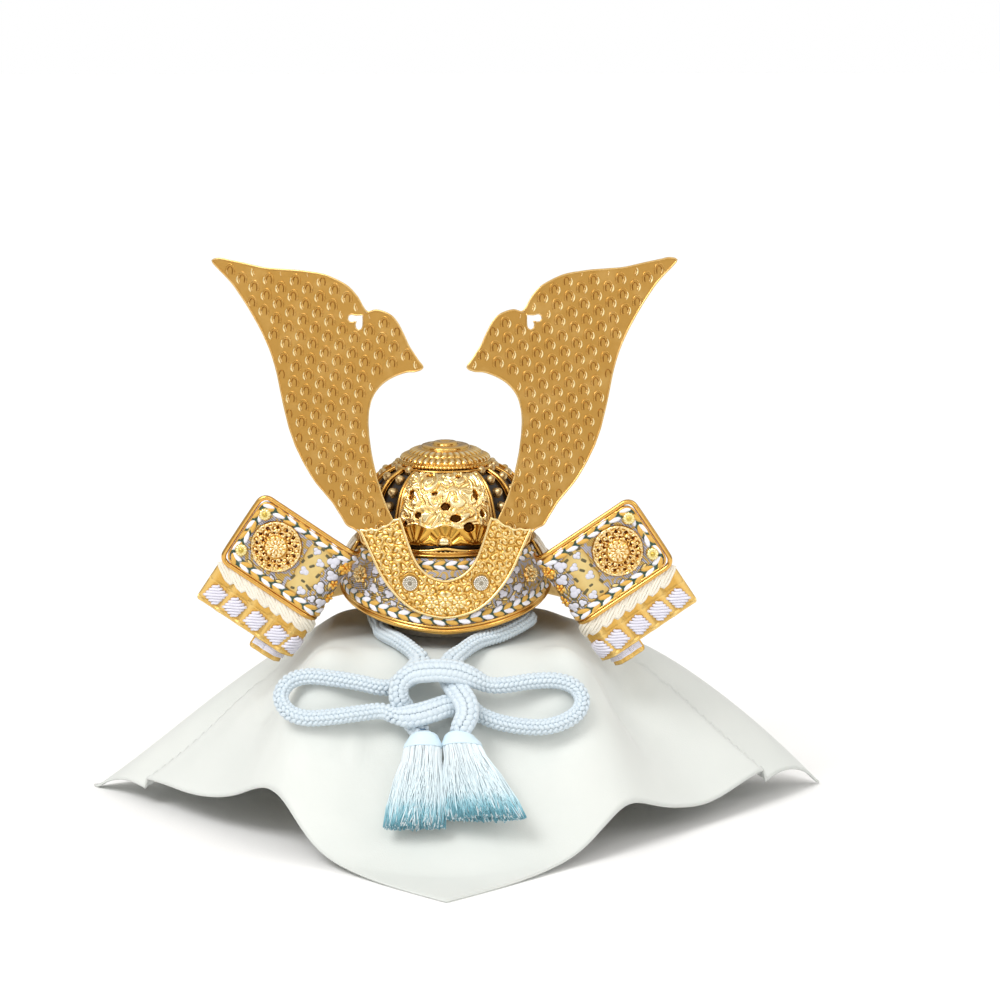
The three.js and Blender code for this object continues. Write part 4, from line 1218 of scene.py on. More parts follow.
def front_plate():
    """A pierced and chased plate: polished scrolls above, a row of fan leaves and a boss below."""
    rows, columns = 104, 136
    angle = np.radians(np.linspace(-PLATE_HALF_ANGLE, PLATE_HALF_ANGLE, columns))[None, :]
    run = np.linspace(run_at(160), run_at(195.8), rows)[:, None]
    radius, height, out_r, out_z = bowl_at(run)
    across = angle * PLATE_RADIUS + 0 * run
    up = run - run[0, 0] + 0 * angle
    # The scrolls are drawn freely, so their lay wanders by a millimetre or two.
    drift = 1.5 * np.sin(across * 0.31 + 1.1 * np.sin(up * 0.37))
    climb = 1.4 * np.sin(up * 0.33 + 1.7 * np.sin(across * 0.21 + 0.6))
    scroll = scrollwork(across + drift, up + climb, 10.6, 4.6, 21, 2.2)
    vein = 0.5 + 0.5 * np.cos(2.6 * (across + drift) + 3.5 * np.sin(0.7 * (up + climb)))
    scroll = np.maximum(scroll, 0.34 + 0.22 * vein)
    # The lower strip: three fans of leaf ribs side by side, parted by a bright moulding.
    fan_top = 10.6 + 1.0 * np.cos(across * 2 * np.pi / FAN_PITCH)
    fans = np.zeros_like(across)
    for centre in (-FAN_PITCH, 0, FAN_PITCH):
        far = np.hypot(across - centre, up + 0.5)
        spread = np.arctan2(across - centre, up + 0.5)
        leaf = 0.25 + 0.55 * np.abs(np.cos(spread * 5.5)) * smooth(2.0, 4.5, far)
        fans = np.where(np.abs(across - centre) <= FAN_PITCH / 2, leaf, fans)
    boss = np.hypot(across + 0.8, up - 1.6 - 0.3)
    moulding = np.exp(-(((up - fan_top) / 0.75) ** 2))
    lower = 1 - smooth(-0.5, 0.7, up - fan_top)
    relief = mix(scroll, fans, lower)
    relief = np.maximum(relief, moulding)
    relief = np.where(boss < 3.9, 0.2, relief)
    relief = np.maximum(
        relief, np.where(boss < 3.3, 1.25 * np.sqrt(np.clip(1 - (boss / 3.3) ** 2, 0, 1)), 0)
    )
    hole = np.zeros_like(across)
    for degrees, level, wide, tall in PLATE_HOLES:
        aside = (across - math.radians(degrees) * PLATE_RADIUS) / wide
        off = np.hypot(aside, (up - (run_at(level) - run[0, 0])) / tall)
        hole = np.maximum(hole, 1 - smooth(0.75, 1.2, off))
    lift = 2.0 + 1.9 * relief * (1 - hole) - 0.9 * hole
    edge = np.minimum(
        np.minimum(up, up.max() - up), np.minimum(across - across.min(), across.max() - across)
    )
    lift = mix(2.1, lift, smooth(0, 1.2, edge))
    front = around(angle, radius + out_r * lift, height + out_z * lift + 0.2)
    back = around(angle, radius + out_r * 0.9, height + out_z * 0.9 + 0.2)
    # Painted light: highlight on the crests, shade in the cuts, and the openings painted dark for the
    # lacquer and shade seen through them.
    shade = np.clip(0.3 + 0.62 * relief - 0.9 * hole, 0, 1)
    shade = shade * mix(1, 0.5, lower * (boss > 3.9) * (relief < 0.95))
    made = [plate(front, back, shade, np.stack([across, up], -1))]
    for side in (-1, 1):
        line = around(math.radians(side * (PLATE_HALF_ANGLE + 0.4)), radius + 2.3, height + 0.4)[:, 0]
        made.append(
            strands(
                line, 0.75, 0.9, sides=8, up=around(math.radians(side * PLATE_HALF_ANGLE), 1, 0), shade=0.6
            )
        )
    plain = around(
        angle, bowl_radius(np.linspace(160, 195.6, 30)[:, None]) + 1.5, np.linspace(160.4, 196, 30)[:, None]
    )
    placed("pierced_front_plate", [(CHASED_GOLD, made)], ["front_plate"], plain)


# ---------------------------------------------------------------- crown fitting

FINIAL_ROWS = [
    (0.01, 202.4), (12, 201.4), (20, 199.8), (24.0, 198.6), (25.2, 198.7), (25.9, 199.2), (26.1, 200.0)
]
FINIAL_ROWS += [(25.9, 200.8), (25.2, 201.2), (24.7, 201.3), (25.1, 201.6), (25.3, 202.1), (25.1, 202.7)]
FINIAL_ROWS += [(24.5, 203.4), (23.6, 204.1), (22.4, 204.7), (21.2, 205.1), (20.6, 205.2), (20.6, 205.5)]
FINIAL_ROWS += [(20.3, 205.9), (19.6, 206.4), (18.6, 206.9), (17.4, 207.3), (16.0, 207.6), (14.6, 207.8)]
FINIAL_ROWS += [(13.7, 207.9), (13.7, 208.3), (13.6, 208.9), (13.1, 209.4), (12.2, 209.7), (11.0, 209.8)]
FINIAL_ROWS += [
    (9.6, 209.8), (8.4, 209.6), (7.6, 209.6), (7.3, 209.9), (7.2, 210.4), (6.8, 211.0), (5.8, 211.4)
]
FINIAL_ROWS += [(4.2, 211.5), (3.0, 211.4), (2.4, 211.0), (1.2, 210.8), (0.01, 210.8)]


def finial():
    """A turned and chased crown: a beaded rim, two tiers of chrysanthemum petals, a ring and a cap."""

    def petals(angle, radius, height):
        tier_one = smooth(201.4, 202.2, height) * (1 - smooth(204.9, 205.2, height))
        tier_two = smooth(205.3, 205.9, height) * (1 - smooth(207.5, 207.8, height))
        one = np.abs(np.cos(20 * angle)) ** 0.6 - 0.7
        two = np.abs(np.cos(16 * angle + 0.4)) ** 0.6 - 0.7
        rim = smooth(198.7, 199.4, height) * (1 - smooth(200.6, 201.2, height)) * (radius > 24)
        notch = np.abs(np.cos(36 * angle)) ** 0.7 - 0.8
        push = tier_one * one * 1.3 + tier_two * two * 1.2 + rim * notch * 0.9
        ripple = tier_one * 0.35 * np.cos(
            (height - 201.6) * 3.2
        ) + tier_two * 0.25 * np.cos((height - 205.4) * 3.6)
        # Painted light: raised petals and the notched rim lighter as highlight, the grooves between them
        # darker as shade.
        shade = np.clip(0.62 + 0.8 * push + ripple * 0.5, 0, 1)
        return radius + 0.7 * push, height + 0.55 * push + 0.4 * ripple, shade

    crown = turned(FINIAL_ROWS, 288, petals)
    plain = turned([(0.01, 202.4), (24.6, 198.6), (26, 201), (5.4, 211), (0.01, 210.8)], 60).points
    placed("chased_finial", [(BRIGHT_GOLD, [crown])], ["finial"], plain)


bowl()
bowl_ribs()
waist_band()
front_plate()
finial()

# ---------------------------------------------------------------- visor

VISOR_HALF_ANGLE = math.radians(104)
VISOR_THICK = 1.6


def visor_edge(angle):
    drop = 15.5 * np.maximum(0, 1 - np.cos(angle)) ** 0.75
    return np.stack([58 * np.sin(angle), -62 * np.cos(angle), 115.6 + drop], -1)


def visor_at(angle, share):
    """A point of the visor's middle sheet; share is 0 at its edge and 1 at the bowl."""
    angle, share = np.broadcast_arrays(angle, share)
    top = np.stack([48.4 * np.sin(angle), -49.6 * np.cos(angle), np.full(angle.shape, 153.4)], -1)
    low = visor_edge(angle) + np.array([0, 0, 2.3])
    bulge = (1.6 * np.sin(np.pi * share))[..., None] * np.stack(
        [np.sin(angle), -np.cos(angle), 0 * angle], -1
    )
    return mix(low, top, share[..., None]) + bulge


def visor_normal(angle, share):
    d = 1e-3
    along = visor_at(angle + d, share) - visor_at(angle - d, share)
    up = visor_at(angle, share + d) - visor_at(angle, share - d)
    return unit(np.cross(along, up))


# How far a laid patch reaches into the surface under it.
LAID_SINK = 0.25


def laid(outline, surface, dome=0.35, rings=4, count=36):
    """A low cushion inside a closed outline on a surface: surface(points) gives places and normals."""
    edge = through(outline, count, closed=True)
    centre = edge.mean(0)
    levels = np.linspace(1, 0, rings, endpoint=False)
    flat = centre + (edge - centre) * levels[:, None, None]
    flat = np.concatenate([flat.reshape(-1, 2), centre[None]])
    lift = np.concatenate([np.repeat(dome * np.sqrt(1 - levels**2.5), count), [dome]])
    places, normals = surface(flat)
    top = places + normals * lift[:, None]
    low, low_normals = surface(np.concatenate([edge, centre[None]]))
    low = low - low_normals * LAID_SINK
    n = len(top)
    k = np.arange(count)
    k2 = (k + 1) % count
    wall = np.stack([k, n + k, n + k2, k2], -1)
    quads = np.concatenate([grid_faces(rings, count, wrap_columns=True), wall])
    tri = np.concatenate([fan(n - 1, (rings - 1) * count + k), fan(n + count, n + k, under=True)])
    place = np.concatenate([flat, edge, centre[None]])
    # The crown of each cushion is painted lighter as highlight and its foot and sides darker as shade.
    shade = np.concatenate([0.35 + 0.5 * (lift[:n] / dome), np.full(count + 1, 0.3)])
    return outward(Form(np.concatenate([top, low]), [quads, tri], place, shade))


def blossom(centre, size, surface, petals=5, turn=0.0, dome=0.5):
    """A woven flower: round petals about a button."""
    made = []
    for k in range(petals):
        way = turn + 2 * np.pi * k / petals
        arm = np.array([math.cos(way), math.sin(way)])
        side = np.array([-arm[1], arm[0]])
        middle_of = np.array(centre) + arm * size * 0.58
        turns = np.linspace(0, 2 * np.pi, 10, endpoint=False)
        outline = [
            middle_of + arm * size * 0.44 * math.cos(a) + side * size * 0.36 * math.sin(a) for a in turns
        ]
        made.append(laid(outline, surface, dome, rings=3, count=16))
    turns = np.linspace(0, 2 * np.pi, 8, endpoint=False)
    button = [np.array(centre) + size * 0.22 * np.array([math.cos(a), math.sin(a)]) for a in turns]
    made.append(laid(button, surface, dome * 1.7, rings=3, count=12))
    return made


VISOR_SHARE = 39.0
VISOR_AROUND = 56.0


def visor_surface(flat):
    angle, share = flat[:, 0] / VISOR_AROUND, flat[:, 1] / VISOR_SHARE
    normal = visor_normal(angle, share)
    return visor_at(angle, share) + normal * VISOR_THICK / 2, normal


def oval(x, y, long, wide, degrees, square=1.0):
    """A closed outline about a point: an oval, or nearly an oblong when square is small."""
    a = np.linspace(0, 2 * np.pi, 16, endpoint=False)
    c, s = math.cos(math.radians(degrees)), math.sin(math.radians(degrees))
    u = long * np.sign(np.cos(a)) * np.abs(np.cos(a)) ** square
    v = wide * np.sign(np.sin(a)) * np.abs(np.sin(a)) ** square
    return np.stack([x + u * c - v * s, y + u * s + v * c], -1)


def outlined(outlines, grown, surface, look, dome):
    """Woven shapes of one thread, each with a dark line woven round it."""
    over = [laid(line, surface, dome, rings=3, count=20) for line in outlines]
    under = [laid(line, surface, dome * 0.5, rings=3, count=20) for line in grown]
    return [(look, over), (DARK_THREAD, under)]


def clouds(shapes, surface, dome=0.55, line=0.32):
    """Clouds of three round puffs: each a centre, a size and a turn in degrees."""
    over, under = [], []
    for x, y, size, degrees in shapes:
        for k, share in enumerate((0.74, 0.62, 0.52)):
            way = math.radians(degrees + 125 * k)
            px, py = x + 0.46 * size * math.cos(way), y + 0.46 * size * math.sin(way)
            over.append(oval(px, py, share * size, share * size * 0.92, degrees))
            under.append(oval(px, py, share * size + line, share * size * 0.92 + line, degrees))
    return outlined(over, under, surface, SILVER_THREAD, dome)


def leaves(shapes, surface, dome=0.5, line=0.3):
    over = [oval(*shape) for shape in shapes]
    under = [oval(x, y, long + line, wide + line, degrees) for x, y, long, wide, degrees in shapes]
    return outlined(over, under, surface, FOIL, dome)


def dashes(shapes, surface):
    """Short oblong marks of dark thread."""
    return [(DARK_THREAD, [laid(oval(*shape, 0.4), surface, 0.45, rings=3, count=20) for shape in shapes])]


def both_sides(shapes):
    """Shapes and their mirrors: the first number is a place across, and the last a turn."""
    return [(side * shape[0], *shape[1:-1], side * shape[-1]) for side in (-1, 1) for shape in shapes]


# Flat millimetres on the visor: along its edge from the middle, and up from the edge. A cloud is a
# centre, a size and a turn in degrees; a leaf or a dash a centre, a half length, a half width and a turn.
VISOR_CLOUDS = [
    (44, 15, 3.4, 30), (38.5, 22, 3.0, -20), (48.5, 9.6, 2.4, 10), (33, 14.4, 3.0, -15), (27, 20, 3.2, 25)
]
VISOR_CLOUDS += [
    (22.6, 12.0, 2.6, -30), (46, 27, 3.0, 15), (70, 15, 3.2, -25), (78, 22, 3.0, 20), (87, 16, 3.0, -10)
]
VISOR_CLOUDS += [
    (67, 27, 2.8, 0), (35, 29, 2.8, 10), (39.0, 9.4, 2.2, 60), (29.6, 9.4, 2.0, 0), (95, 24, 3.0, 30)
]
VISOR_LEAVES = [
    (40.6, 12.4, 2.2, 0.9, 40), (31, 24.5, 2.4, 1.1, -30), (34.4, 10.4, 2.2, 0.8, -10),
    (44, 21, 2.2, 1.0, 70),
]
VISOR_LEAVES += [
    (72, 9.8, 2.4, 1.0, 20), (80, 28, 2.4, 1.1, 0), (92, 22, 2.4, 1.1, 30), (18.0, 15, 2.6, 1.0, 10)
]
VISOR_LEAVES += [
    (28.2, 15.2, 1.8, 0.8, 60), (50.6, 15.4, 2.2, 0.8, 75), (48.6, 21.4, 1.8, 0.8, -40),
    (24.6, 9.0, 1.8, 0.7, 10),
]
VISOR_DASHES = [
    (36.4, 13.4, 1.6, 0.7, 30), (49.5, 13.0, 1.4, 0.6, -35), (30.2, 17.6, 1.5, 0.7, 60),
    (20.4, 9.2, 1.6, 0.6, 4),
]
VISOR_DASHES += [
    (64, 11, 1.6, 0.7, 10), (82, 12, 1.6, 0.7, -15), (41, 26.4, 1.5, 0.7, -20), (74, 20, 1.5, 0.7, 50)
]
VISOR_DASHES += [
    (41.4, 17.8, 1.5, 0.7, 45), (35.6, 18.2, 1.2, 0.6, -30), (25.2, 14.6, 1.4, 0.6, 20),
    (44.4, 10.4, 1.3, 0.6, 0),
]


def visor():
    """Brocade over a stiff band, with silver clouds, gold leaves and dark dashes woven in."""
    columns, rows = 150, 18
    angle = np.linspace(-VISOR_HALF_ANGLE, VISOR_HALF_ANGLE, columns)[None, :]
    share = np.linspace(0, 1, rows)[:, None]
    sheet, normal = visor_at(angle, share), visor_normal(*np.broadcast_arrays(angle, share))
    place = np.stack(np.broadcast_arrays(angle * VISOR_AROUND, share * VISOR_SHARE), -1)
    shell = plate(sheet + normal * VISOR_THICK / 2, sheet - normal * VISOR_THICK / 2, place=place)
    flowers = []
    for side in (-1, 1):
        flowers += blossom((side * 58, 20.5), 6.8, visor_surface, 7, 0.2, 1.6)
        flowers += blossom((side * 58, 20.5), 3.8, visor_surface, 5, 0.5, 2.8)
    # Silver fans stand side by side under the upper braid.
    fans = [(x, 25.5, 4.6, 3.0, 0) for x in (-13.5, -4.5, 4.5, 13.5)]
    edge_angle = np.linspace(-VISOR_HALF_ANGLE * 0.985, VISOR_HALF_ANGLE * 0.985, 400)
    groups = [(BROCADE, [shell]), (CHASED_GOLD, flowers)]
    groups += clouds(both_sides(VISOR_CLOUDS), visor_surface)
    groups += leaves(both_sides(VISOR_LEAVES), visor_surface)
    groups += dashes(both_sides(VISOR_DASHES), visor_surface)
    fan_lines = [oval(x, y, long + 0.4, wide + 0.4, degrees) for x, y, long, wide, degrees in fans]
    groups += outlined([oval(*fan) for fan in fans], fan_lines, visor_surface, SILVER_THREAD, 0.4)
    for share, width in ((0.1, 5.4), (0.9, 4.8)):
        line_share = np.full(edge_angle.shape, share)
        normal = visor_normal(edge_angle, line_share)
        groups += braid(
            visor_at(edge_angle, line_share) + normal * (VISOR_THICK / 2 + 0.1), normal, width, 6.8
        )
    placed("brocade_visor", groups, ["visor"], sheet)


def visor_rim():
    angle = np.linspace(-VISOR_HALF_ANGLE, VISOR_HALF_ANGLE, 200)
    edge = visor_edge(angle)
    outward_way = around(angle, 1, 0)
    tube = strands(edge, 1.7, sides=14, up=outward_way[None], shade=0.5)
    inner = strands(
        edge + np.array([0, 0, 2.3]) + outward_way * 0.9, 0.75, sides=8, up=outward_way[None], shade=0.6
    )
    placed("visor_rim_tube", [(BRIGHT_GOLD, [tube, inner])], ["visor_rim"], edge)


# ---------------------------------------------------------------- crest holder

HOLDER_OUTER = [(0, 123.2), (7.8, 124.2), (16, 126.8), (23, 131.2), (29.7, 138), (35.7, 146.4), (40.4, 156)]
HOLDER_OUTER += [(44.2, 164.0), (47, 169.6)]
HOLDER_INNER = [(0, 143), (3.4, 143.5), (9, 145.7), (14, 150), (17.4, 155.2), (19.8, 161), (22.5, 168.8)]
HOLDER_INNER += [(24.2, 174), (25.4, 177.4)]
HOLDER_THICK = 1.6
ROSETTE_OUT, ROSETTE_UP = 19.4, 142.4


def holder_face(x, z):
    return -62.6 + (z - 124) * 0.13 + x**2 / 240


def mirrored_line(rows, count):
    """A line drawn for positive X, carried over to both sides through the middle."""
    rows = np.array(rows, float)
    both = np.concatenate([rows[:0:-1] * [-1, 1], rows])
    return through(both, count)


def crest_holder():
    """A U plate chased all over with small curls, a flower spray at its foot, and wired edges."""
    columns, rows = 300, 48
    outer, inner = mirrored_line(HOLDER_OUTER, columns), mirrored_line(HOLDER_INNER, columns)
    share = np.linspace(0, 1, rows)[:, None]
    flat = mix(outer[None], inner[None], share[..., None])
    x, z = flat[..., 0], flat[..., 1]
    # The arm tops are cut in scallops that dip between their corners.
    spot = np.abs(np.linspace(-1, 1, columns))[None, :]
    dip = smooth(0.9, 1, spot) * (
        2.2 * np.sin(np.pi * share) ** 2 + 0.9 * np.abs(np.sin(3.5 * np.pi * share))
    )
    z = z - dip
    relief = scrollwork(x + 0.6 * np.sin(z * 0.7), z + 0.6 * np.sin(x * 0.8), 4.8, 2.2, 5, 0.8)
    rosette = np.hypot(np.abs(x) - ROSETTE_OUT, z - ROSETTE_UP)
    relief = np.where(rosette < 5.4, 0.45 * (1 - smooth(4.6, 5.2, rosette)), relief)
    spray = np.zeros_like(x)
    for cx, cz, size in [
        (0, 133.2, 5.0), (-7.6, 131.6, 4.0), (7.6, 131.6, 4.0), (-3.6, 127.2, 3.0), (3.6, 127.2, 3.0)
    ]:
        far, way = np.hypot(x - cx, z - cz), np.arctan2(z - cz, x - cx)
        petal = np.abs(np.cos(3 * way)) ** 0.5 * smooth(0.15 * size, 0.4 * size, far) * (
            1 - smooth(0.8 * size, size, far)
        )
        button = 1.1 * (1 - smooth(0.12 * size, 0.3 * size, far))
        spray = np.where(far < size, np.maximum(petal, button), spray)
        relief = np.where(far < size, 0.1, relief)
    relief = np.maximum(relief, 1.15 * spray)
    edge = np.minimum(share, 1 - share) * np.linalg.norm(outer - inner, axis=1)[None, :]
    relief = relief * smooth(0.5, 1.3, edge)
    y = holder_face(x, z)
    front = np.stack([x, y - HOLDER_THICK / 2 - 0.7 * relief, z], -1)
    back = np.stack([x, y + HOLDER_THICK / 2, z], -1)
    # The ground is painted darker as shade and the raised curls lighter as highlight.
    sheet = plate(front, back, np.clip(0.1 + 0.8 * relief, 0, 1), np.stack([x, z], -1))
    # The edge wires are painted bright, a painted highlight along the edges.
    wires = []
    for line, radius in ((flat[0], 0.8), (flat[-1], 0.7)):
        wire = np.stack(
            [line[:, 0], holder_face(line[:, 0], line[:, 1]) - HOLDER_THICK / 2 - 0.2, line[:, 1]], -1
        )
        wires.append(strands(wire, radius, sides=8, up=(0, -1, 0), shade=0.85))
    for end in (0, -1):
        wire = np.stack([x[:, end], y[:, end] - HOLDER_THICK / 2 - 0.2, z[:, end]], -1)
        wires.append(strands(wire, 0.7, sides=8, up=(0, -1, 0), shade=0.9))
    feet = [
        Form(
            [
                (fx + sx * 2.5, -56.7 + sy * 2.4, 143.4 + sz * 2.5)
                for sx in (-1, 1)
                for sy in (-1, 1)
                for sz in (-1, 1)
            ],
            [np.array([(0, 1, 3, 2), (4, 6, 7, 5), (0, 4, 5, 1), (2, 3, 7, 6), (0, 2, 6, 4), (1, 5, 7, 3)])],
        )
        for fx in (-ROSETTE_OUT, ROSETTE_OUT)
    ]
    plain = np.concatenate(
        [np.stack([x, y + e, z], -1).reshape(-1, 3) for e in (-0.8, 0.8)] + [f.points for f in feet]
    )
    placed(
        "chased_crest_holder",
        [(HOLDER_GOLD, [sheet] + wires + [outward(f) for f in feet])],
        ["crest_holder"],
        plain,
    )


def rosettes():
    """A silvered rivet head with three rings of beads about a button."""
    base = turned(
        [(0.01, 0), (4.2, 0), (4.3, 0.5), (3.9, 0.9), (2.8, 1.1), (1.2, 1.2), (0.01, 1.2)], 48, shade=0.35
    )
    forms = [base]
    for count, ring, size, level, shade in (
        (22, 3.75, 0.5, 0.8, 0.9), (16, 2.7, 0.46, 1.05, 0.7), (10, 1.7, 0.42, 1.15, 0.95)
    ):
        a = full_turn(count)
        centres = np.stack([ring * np.cos(a), ring * np.sin(a), np.full(count, level)], -1)
        forms.append(copies(bead(8, 3, 0), centres, np.tile(np.eye(3) * size, (count, 1, 1)), shade))
    forms.append(copies(bead(12, 4, 0), [(0, 0, 1.15)], [np.eye(3) * 0.95], 0.2))
    stand = turn_about("z", -math.degrees(math.atan(ROSETTE_OUT / 120))) @ turn_about("x", 90)
    forms = [f.moved(stand) for f in forms]
    corners = np.array(
        [(4.2, 0, 0), (-4.2, 0, 0), (0, 4.2, 0), (0, -4.2, 0), (4.2, 0, 1.08), (-4.2, 0, 1.08), (0, 0, 2.4)]
    )
    pair("rosette", [(SILVERED, forms)], ["rosette_rivet"], corners @ stand.T)


visor()
visor_rim()
crest_holder()
rosettes()

# ---------------------------------------------------------------- horns

HORN_OUTLINE = [(-101.4, 142.8), (-98.4, 144.2), (-84.4, 142), (-70, 139.4), (-50.4, 138.8), (-36.6, 137.4)]
HORN_OUTLINE += [(-27.8, 134.4), (-21.2, 130.8), (-16.2, 126), (-12.8, 120.6), (-11, 117), (-6.4, 118.8)]
HORN_OUTLINE += [
    (-1.8, 118.4), (3.4, 116.4), (7.6, 112.2), (10.8, 106.8), (14.4, 99.8), (18.6, 94), (23, 88.2)
]
HORN_OUTLINE += [(20.6, 86.4), (12.8, 85.6), (6.4, 83), (0.8, 79.4), (-3.8, 74.8), (-6.4, 69.4), (-7.6, 63)]
HORN_OUTLINE += [
    (-7.8, 57), (-7, 49.4), (-5.6, 41.2), (-3.6, 33.2), (-1.2, 25), (2.8, 14.6), (8.4, 3.4), (7, -8)
]
HORN_OUTLINE += [(-8, -11), (-11, -2.6), (-17, -1.2), (-26.2, 11.6), (-37.6, 23.6), (-43.6, 32.4), (-49, 42)]
HORN_OUTLINE += [
    (-53, 51.6), (-56.4, 62.8), (-59, 73), (-61.2, 82), (-64.2, 91), (-67.6, 98.6), (-72, 106.6)
]
HORN_OUTLINE += [(-78, 116), (-83.8, 124), (-89.2, 130.8), (-96, 137.2), (-100.2, 140.8)]
HEART_HOLE = [
    (-12.4, 116), (-16.4, 115.6), (-19.2, 116.2), (-21, 115.2), (-21.4, 113.2), (-20.2, 111.6),
    (-18.2, 111.4),
]
HEART_HOLE += [
    (-16.4, 112.2), (-17, 110.2), (-16.4, 108.2), (-14.8, 107.2), (-13, 107.8), (-12.2, 109.6),
    (-12.2, 112.4),
]
HORN_THICK = 1.4
HORN_STAND = turn_about("z", -17) @ turn_about("x", -7)
HORN_COLUMN = 7.85
HORN_PITCH = 8.65
HORN_SLANT = 0.125


def closed_line(points, step):
    """A closed outline of straight runs, at even steps."""
    p = np.array(points + points[:1], float)
    run = runs_along(p)
    at = np.linspace(0, run[-1], int(run[-1] / step), endpoint=False)
    return sampled(at, run, p)


def inside(points, outline):
    """Which points lie inside a closed outline."""
    x, z = points[..., 0, None], points[..., 1, None]
    a, b = outline, np.roll(outline, -1, 0)
    crosses = (a[:, 1] > z) != (b[:, 1] > z)
    reach = a[:, 0] + (z - a[:, 1]) * (b[:, 0] - a[:, 0]) / np.where(
        b[:, 1] == a[:, 1], 1e-9, b[:, 1] - a[:, 1]
    )
    return np.sum(crosses & (x < reach), axis=-1) % 2 == 1


def horn_relief():
    """Stamped scales on each horn's face, a claw to a scale painted bright as a highlight, and a fine wire
    round its edge.
    """
    outline, hole = closed_line(HORN_OUTLINE, 1.6), closed_line(HEART_HOLE, 1.0)
    face = -HORN_THICK / 2

    def on_face(flat, lift):
        return np.stack([flat[..., 0], face - lift + 0 * flat[..., 0], flat[..., 1]], -1)

    # The edge wires are set light, a painted highlight along the edge.
    rim = hoop(on_face(through(outline[::3], 420, True), 0.12), 0.5, 0.42, up=(0, -1, 0), shade=0.7)
    eye = hoop(on_face(hole, 0.12), 0.4, 0.36, up=(0, -1, 0), shade=0.7)
    column, row = np.meshgrid(np.arange(-15, 5), np.arange(-3, 18), indexing="ij")
    rise = (row + 0.5 * (column % 2)) * HORN_PITCH
    centres = np.stack([column * HORN_COLUMN + 1.6 + rise * HORN_SLANT, rise], -1).reshape(-1, 2)
    arch = through(
        [(2.6, -2.8), (2.8, -0.6), (2.3, 1.4), (0.9, 2.8), (-0.9, 2.7), (-2.2, 1.4), (-2.9, -0.8)], 12
    )
    inner = through([(1.4, -2.8), (1.6, -0.8), (1.1, 0.9), (0.1, 1.5), (-0.9, 0.9), (-1.3, -0.8)], 9)
    claw = through([(-2.3, 0.8), (-2.9, -0.8), (-2.6, -2.2), (-1.6, -3.6)], 8)
    claw_width = np.interp(np.linspace(0, 1, 8), [0, 0.4, 0.7, 1], [0.2, 0.55, 0.62, 0.1])
    spur = through([(-1.6, -0.6), (-1.5, -1.8), (-0.9, -2.8)], 5)

    def stamped(path, across, deep, shade, ends):
        """One mark set down at every place where it keeps clear of the edge and of the opening."""
        marks = centres[:, None] + path
        near_edge = np.linalg.norm(marks[:, :, None] - outline, axis=-1).min((1, 2))
        near_hole = np.linalg.norm(marks[:, :, None] - hole, axis=-1).min((1, 2))
        keep = inside(marks, outline).all(1) & ~inside(marks, hole).any(1) & (
            near_edge > ends
        ) & (near_hole > 0.9)
        return strands(on_face(marks[keep], 0.02), across, deep, sides=6, up=(0, -1, 0), shade=shade)

    # The inner arcs are painted dark as shade in their grooves; the claws and spurs are painted bright as
    # highlights.
    marks = [
        stamped(arch, 0.3, 0.45, 0.62, 0.7),
        stamped(inner, 0.26, 0.4, 0.0, 0.7),
        stamped(claw, claw_width, 0.6, 1.0, 0.7),
        stamped(spur, 0.3, 0.5, 0.8, 0.7),
    ]
    forms = [f.moved(HORN_STAND) for f in [rim, eye] + marks]
    flat = np.array(HORN_OUTLINE)
    plain = np.concatenate(
        [np.stack([flat[:, 0], np.full(len(flat), y), flat[:, 1]], -1) for y in (face, -face)]
    )
    pair(
        "horn_relief", [(STAMPED_GOLD, forms)], ["horn"], plain @ HORN_STAND.T, stand_in=False
    )


# ---------------------------------------------------------------- turn-backs

PANEL_STAND = turn_about("z", -5) @ turn_about("y", 33.5)
PANEL_FLAT_END = 22.0
PANEL_ROLL = 8.0
PANEL_END = 42.57
PANEL_OUTER = -32.6
PANEL_INSIDE = 20.4
PANEL_THICK = 1.6
# The direction along the tilted plate that is nearly level, which the cross-knots' laces follow.
LEVEL = np.array([math.cos(math.radians(30)), math.sin(math.radians(30))])


def panel_bend(run, height, set_back=0.0):
    """A run along the turn-back and a height up it, as a place and an outward direction."""
    run, height = np.broadcast_arrays(run, height)
    arc = np.clip((run - PANEL_FLAT_END) / PANEL_ROLL, 0, np.pi / 2)
    past = np.maximum(0, run - PANEL_FLAT_END - PANEL_ROLL * np.pi / 2)
    x = np.minimum(run, PANEL_FLAT_END) + PANEL_ROLL * np.sin(arc)
    y = PANEL_ROLL * (1 - np.cos(arc)) + past
    return np.stack([x, y + set_back, height], -1), np.stack([np.sin(arc), -np.cos(arc), 0 * arc], -1)


def panel_surface(flat):
    place, normal = panel_bend(flat[..., 0], flat[..., 1])
    return place + normal * PANEL_THICK / 2, normal


def on_panels(name, groups, node, plain):
    """Both of a pair of pieces worked out on an upright turn-back, tilted as it stands."""
    moved = [(look, [f.moved(PANEL_STAND) for f in forms]) for look, forms in groups]
    pair(name, moved, [node], np.reshape(plain, (-1, 3)) @ PANEL_STAND.T)


def bent_plate(start, stop, low, high, corner, set_back, columns, rows, relief=None):
    """A plate that follows the roll, its outer corners rounded; relief(run, height) lifts its face."""
    run = np.linspace(start, stop, columns)[:, None]
    inset = np.maximum(0, corner - (run - start))
    trim = corner - np.sqrt(np.maximum(0, corner**2 - inset**2))
    height = mix(low + trim, high - trim, np.linspace(0, 1, rows)[None, :])
    run = run + 0 * height
    middle_sheet, normal = panel_bend(run, height, set_back)
    lift = np.zeros_like(run) if relief is None else relief(run, height)
    front = middle_sheet + normal * (PANEL_THICK / 2 + lift)[..., None]
    back = middle_sheet - normal * PANEL_THICK / 2
    # Where the face is lifted, raised parts are painted lighter as highlight and low parts darker as shade.
    shade = 0.5 if relief is None else np.clip(0.3 + 0.5 * lift, 0, 1)
    return plate(front, back, shade, np.stack([run, height], -1)), middle_sheet


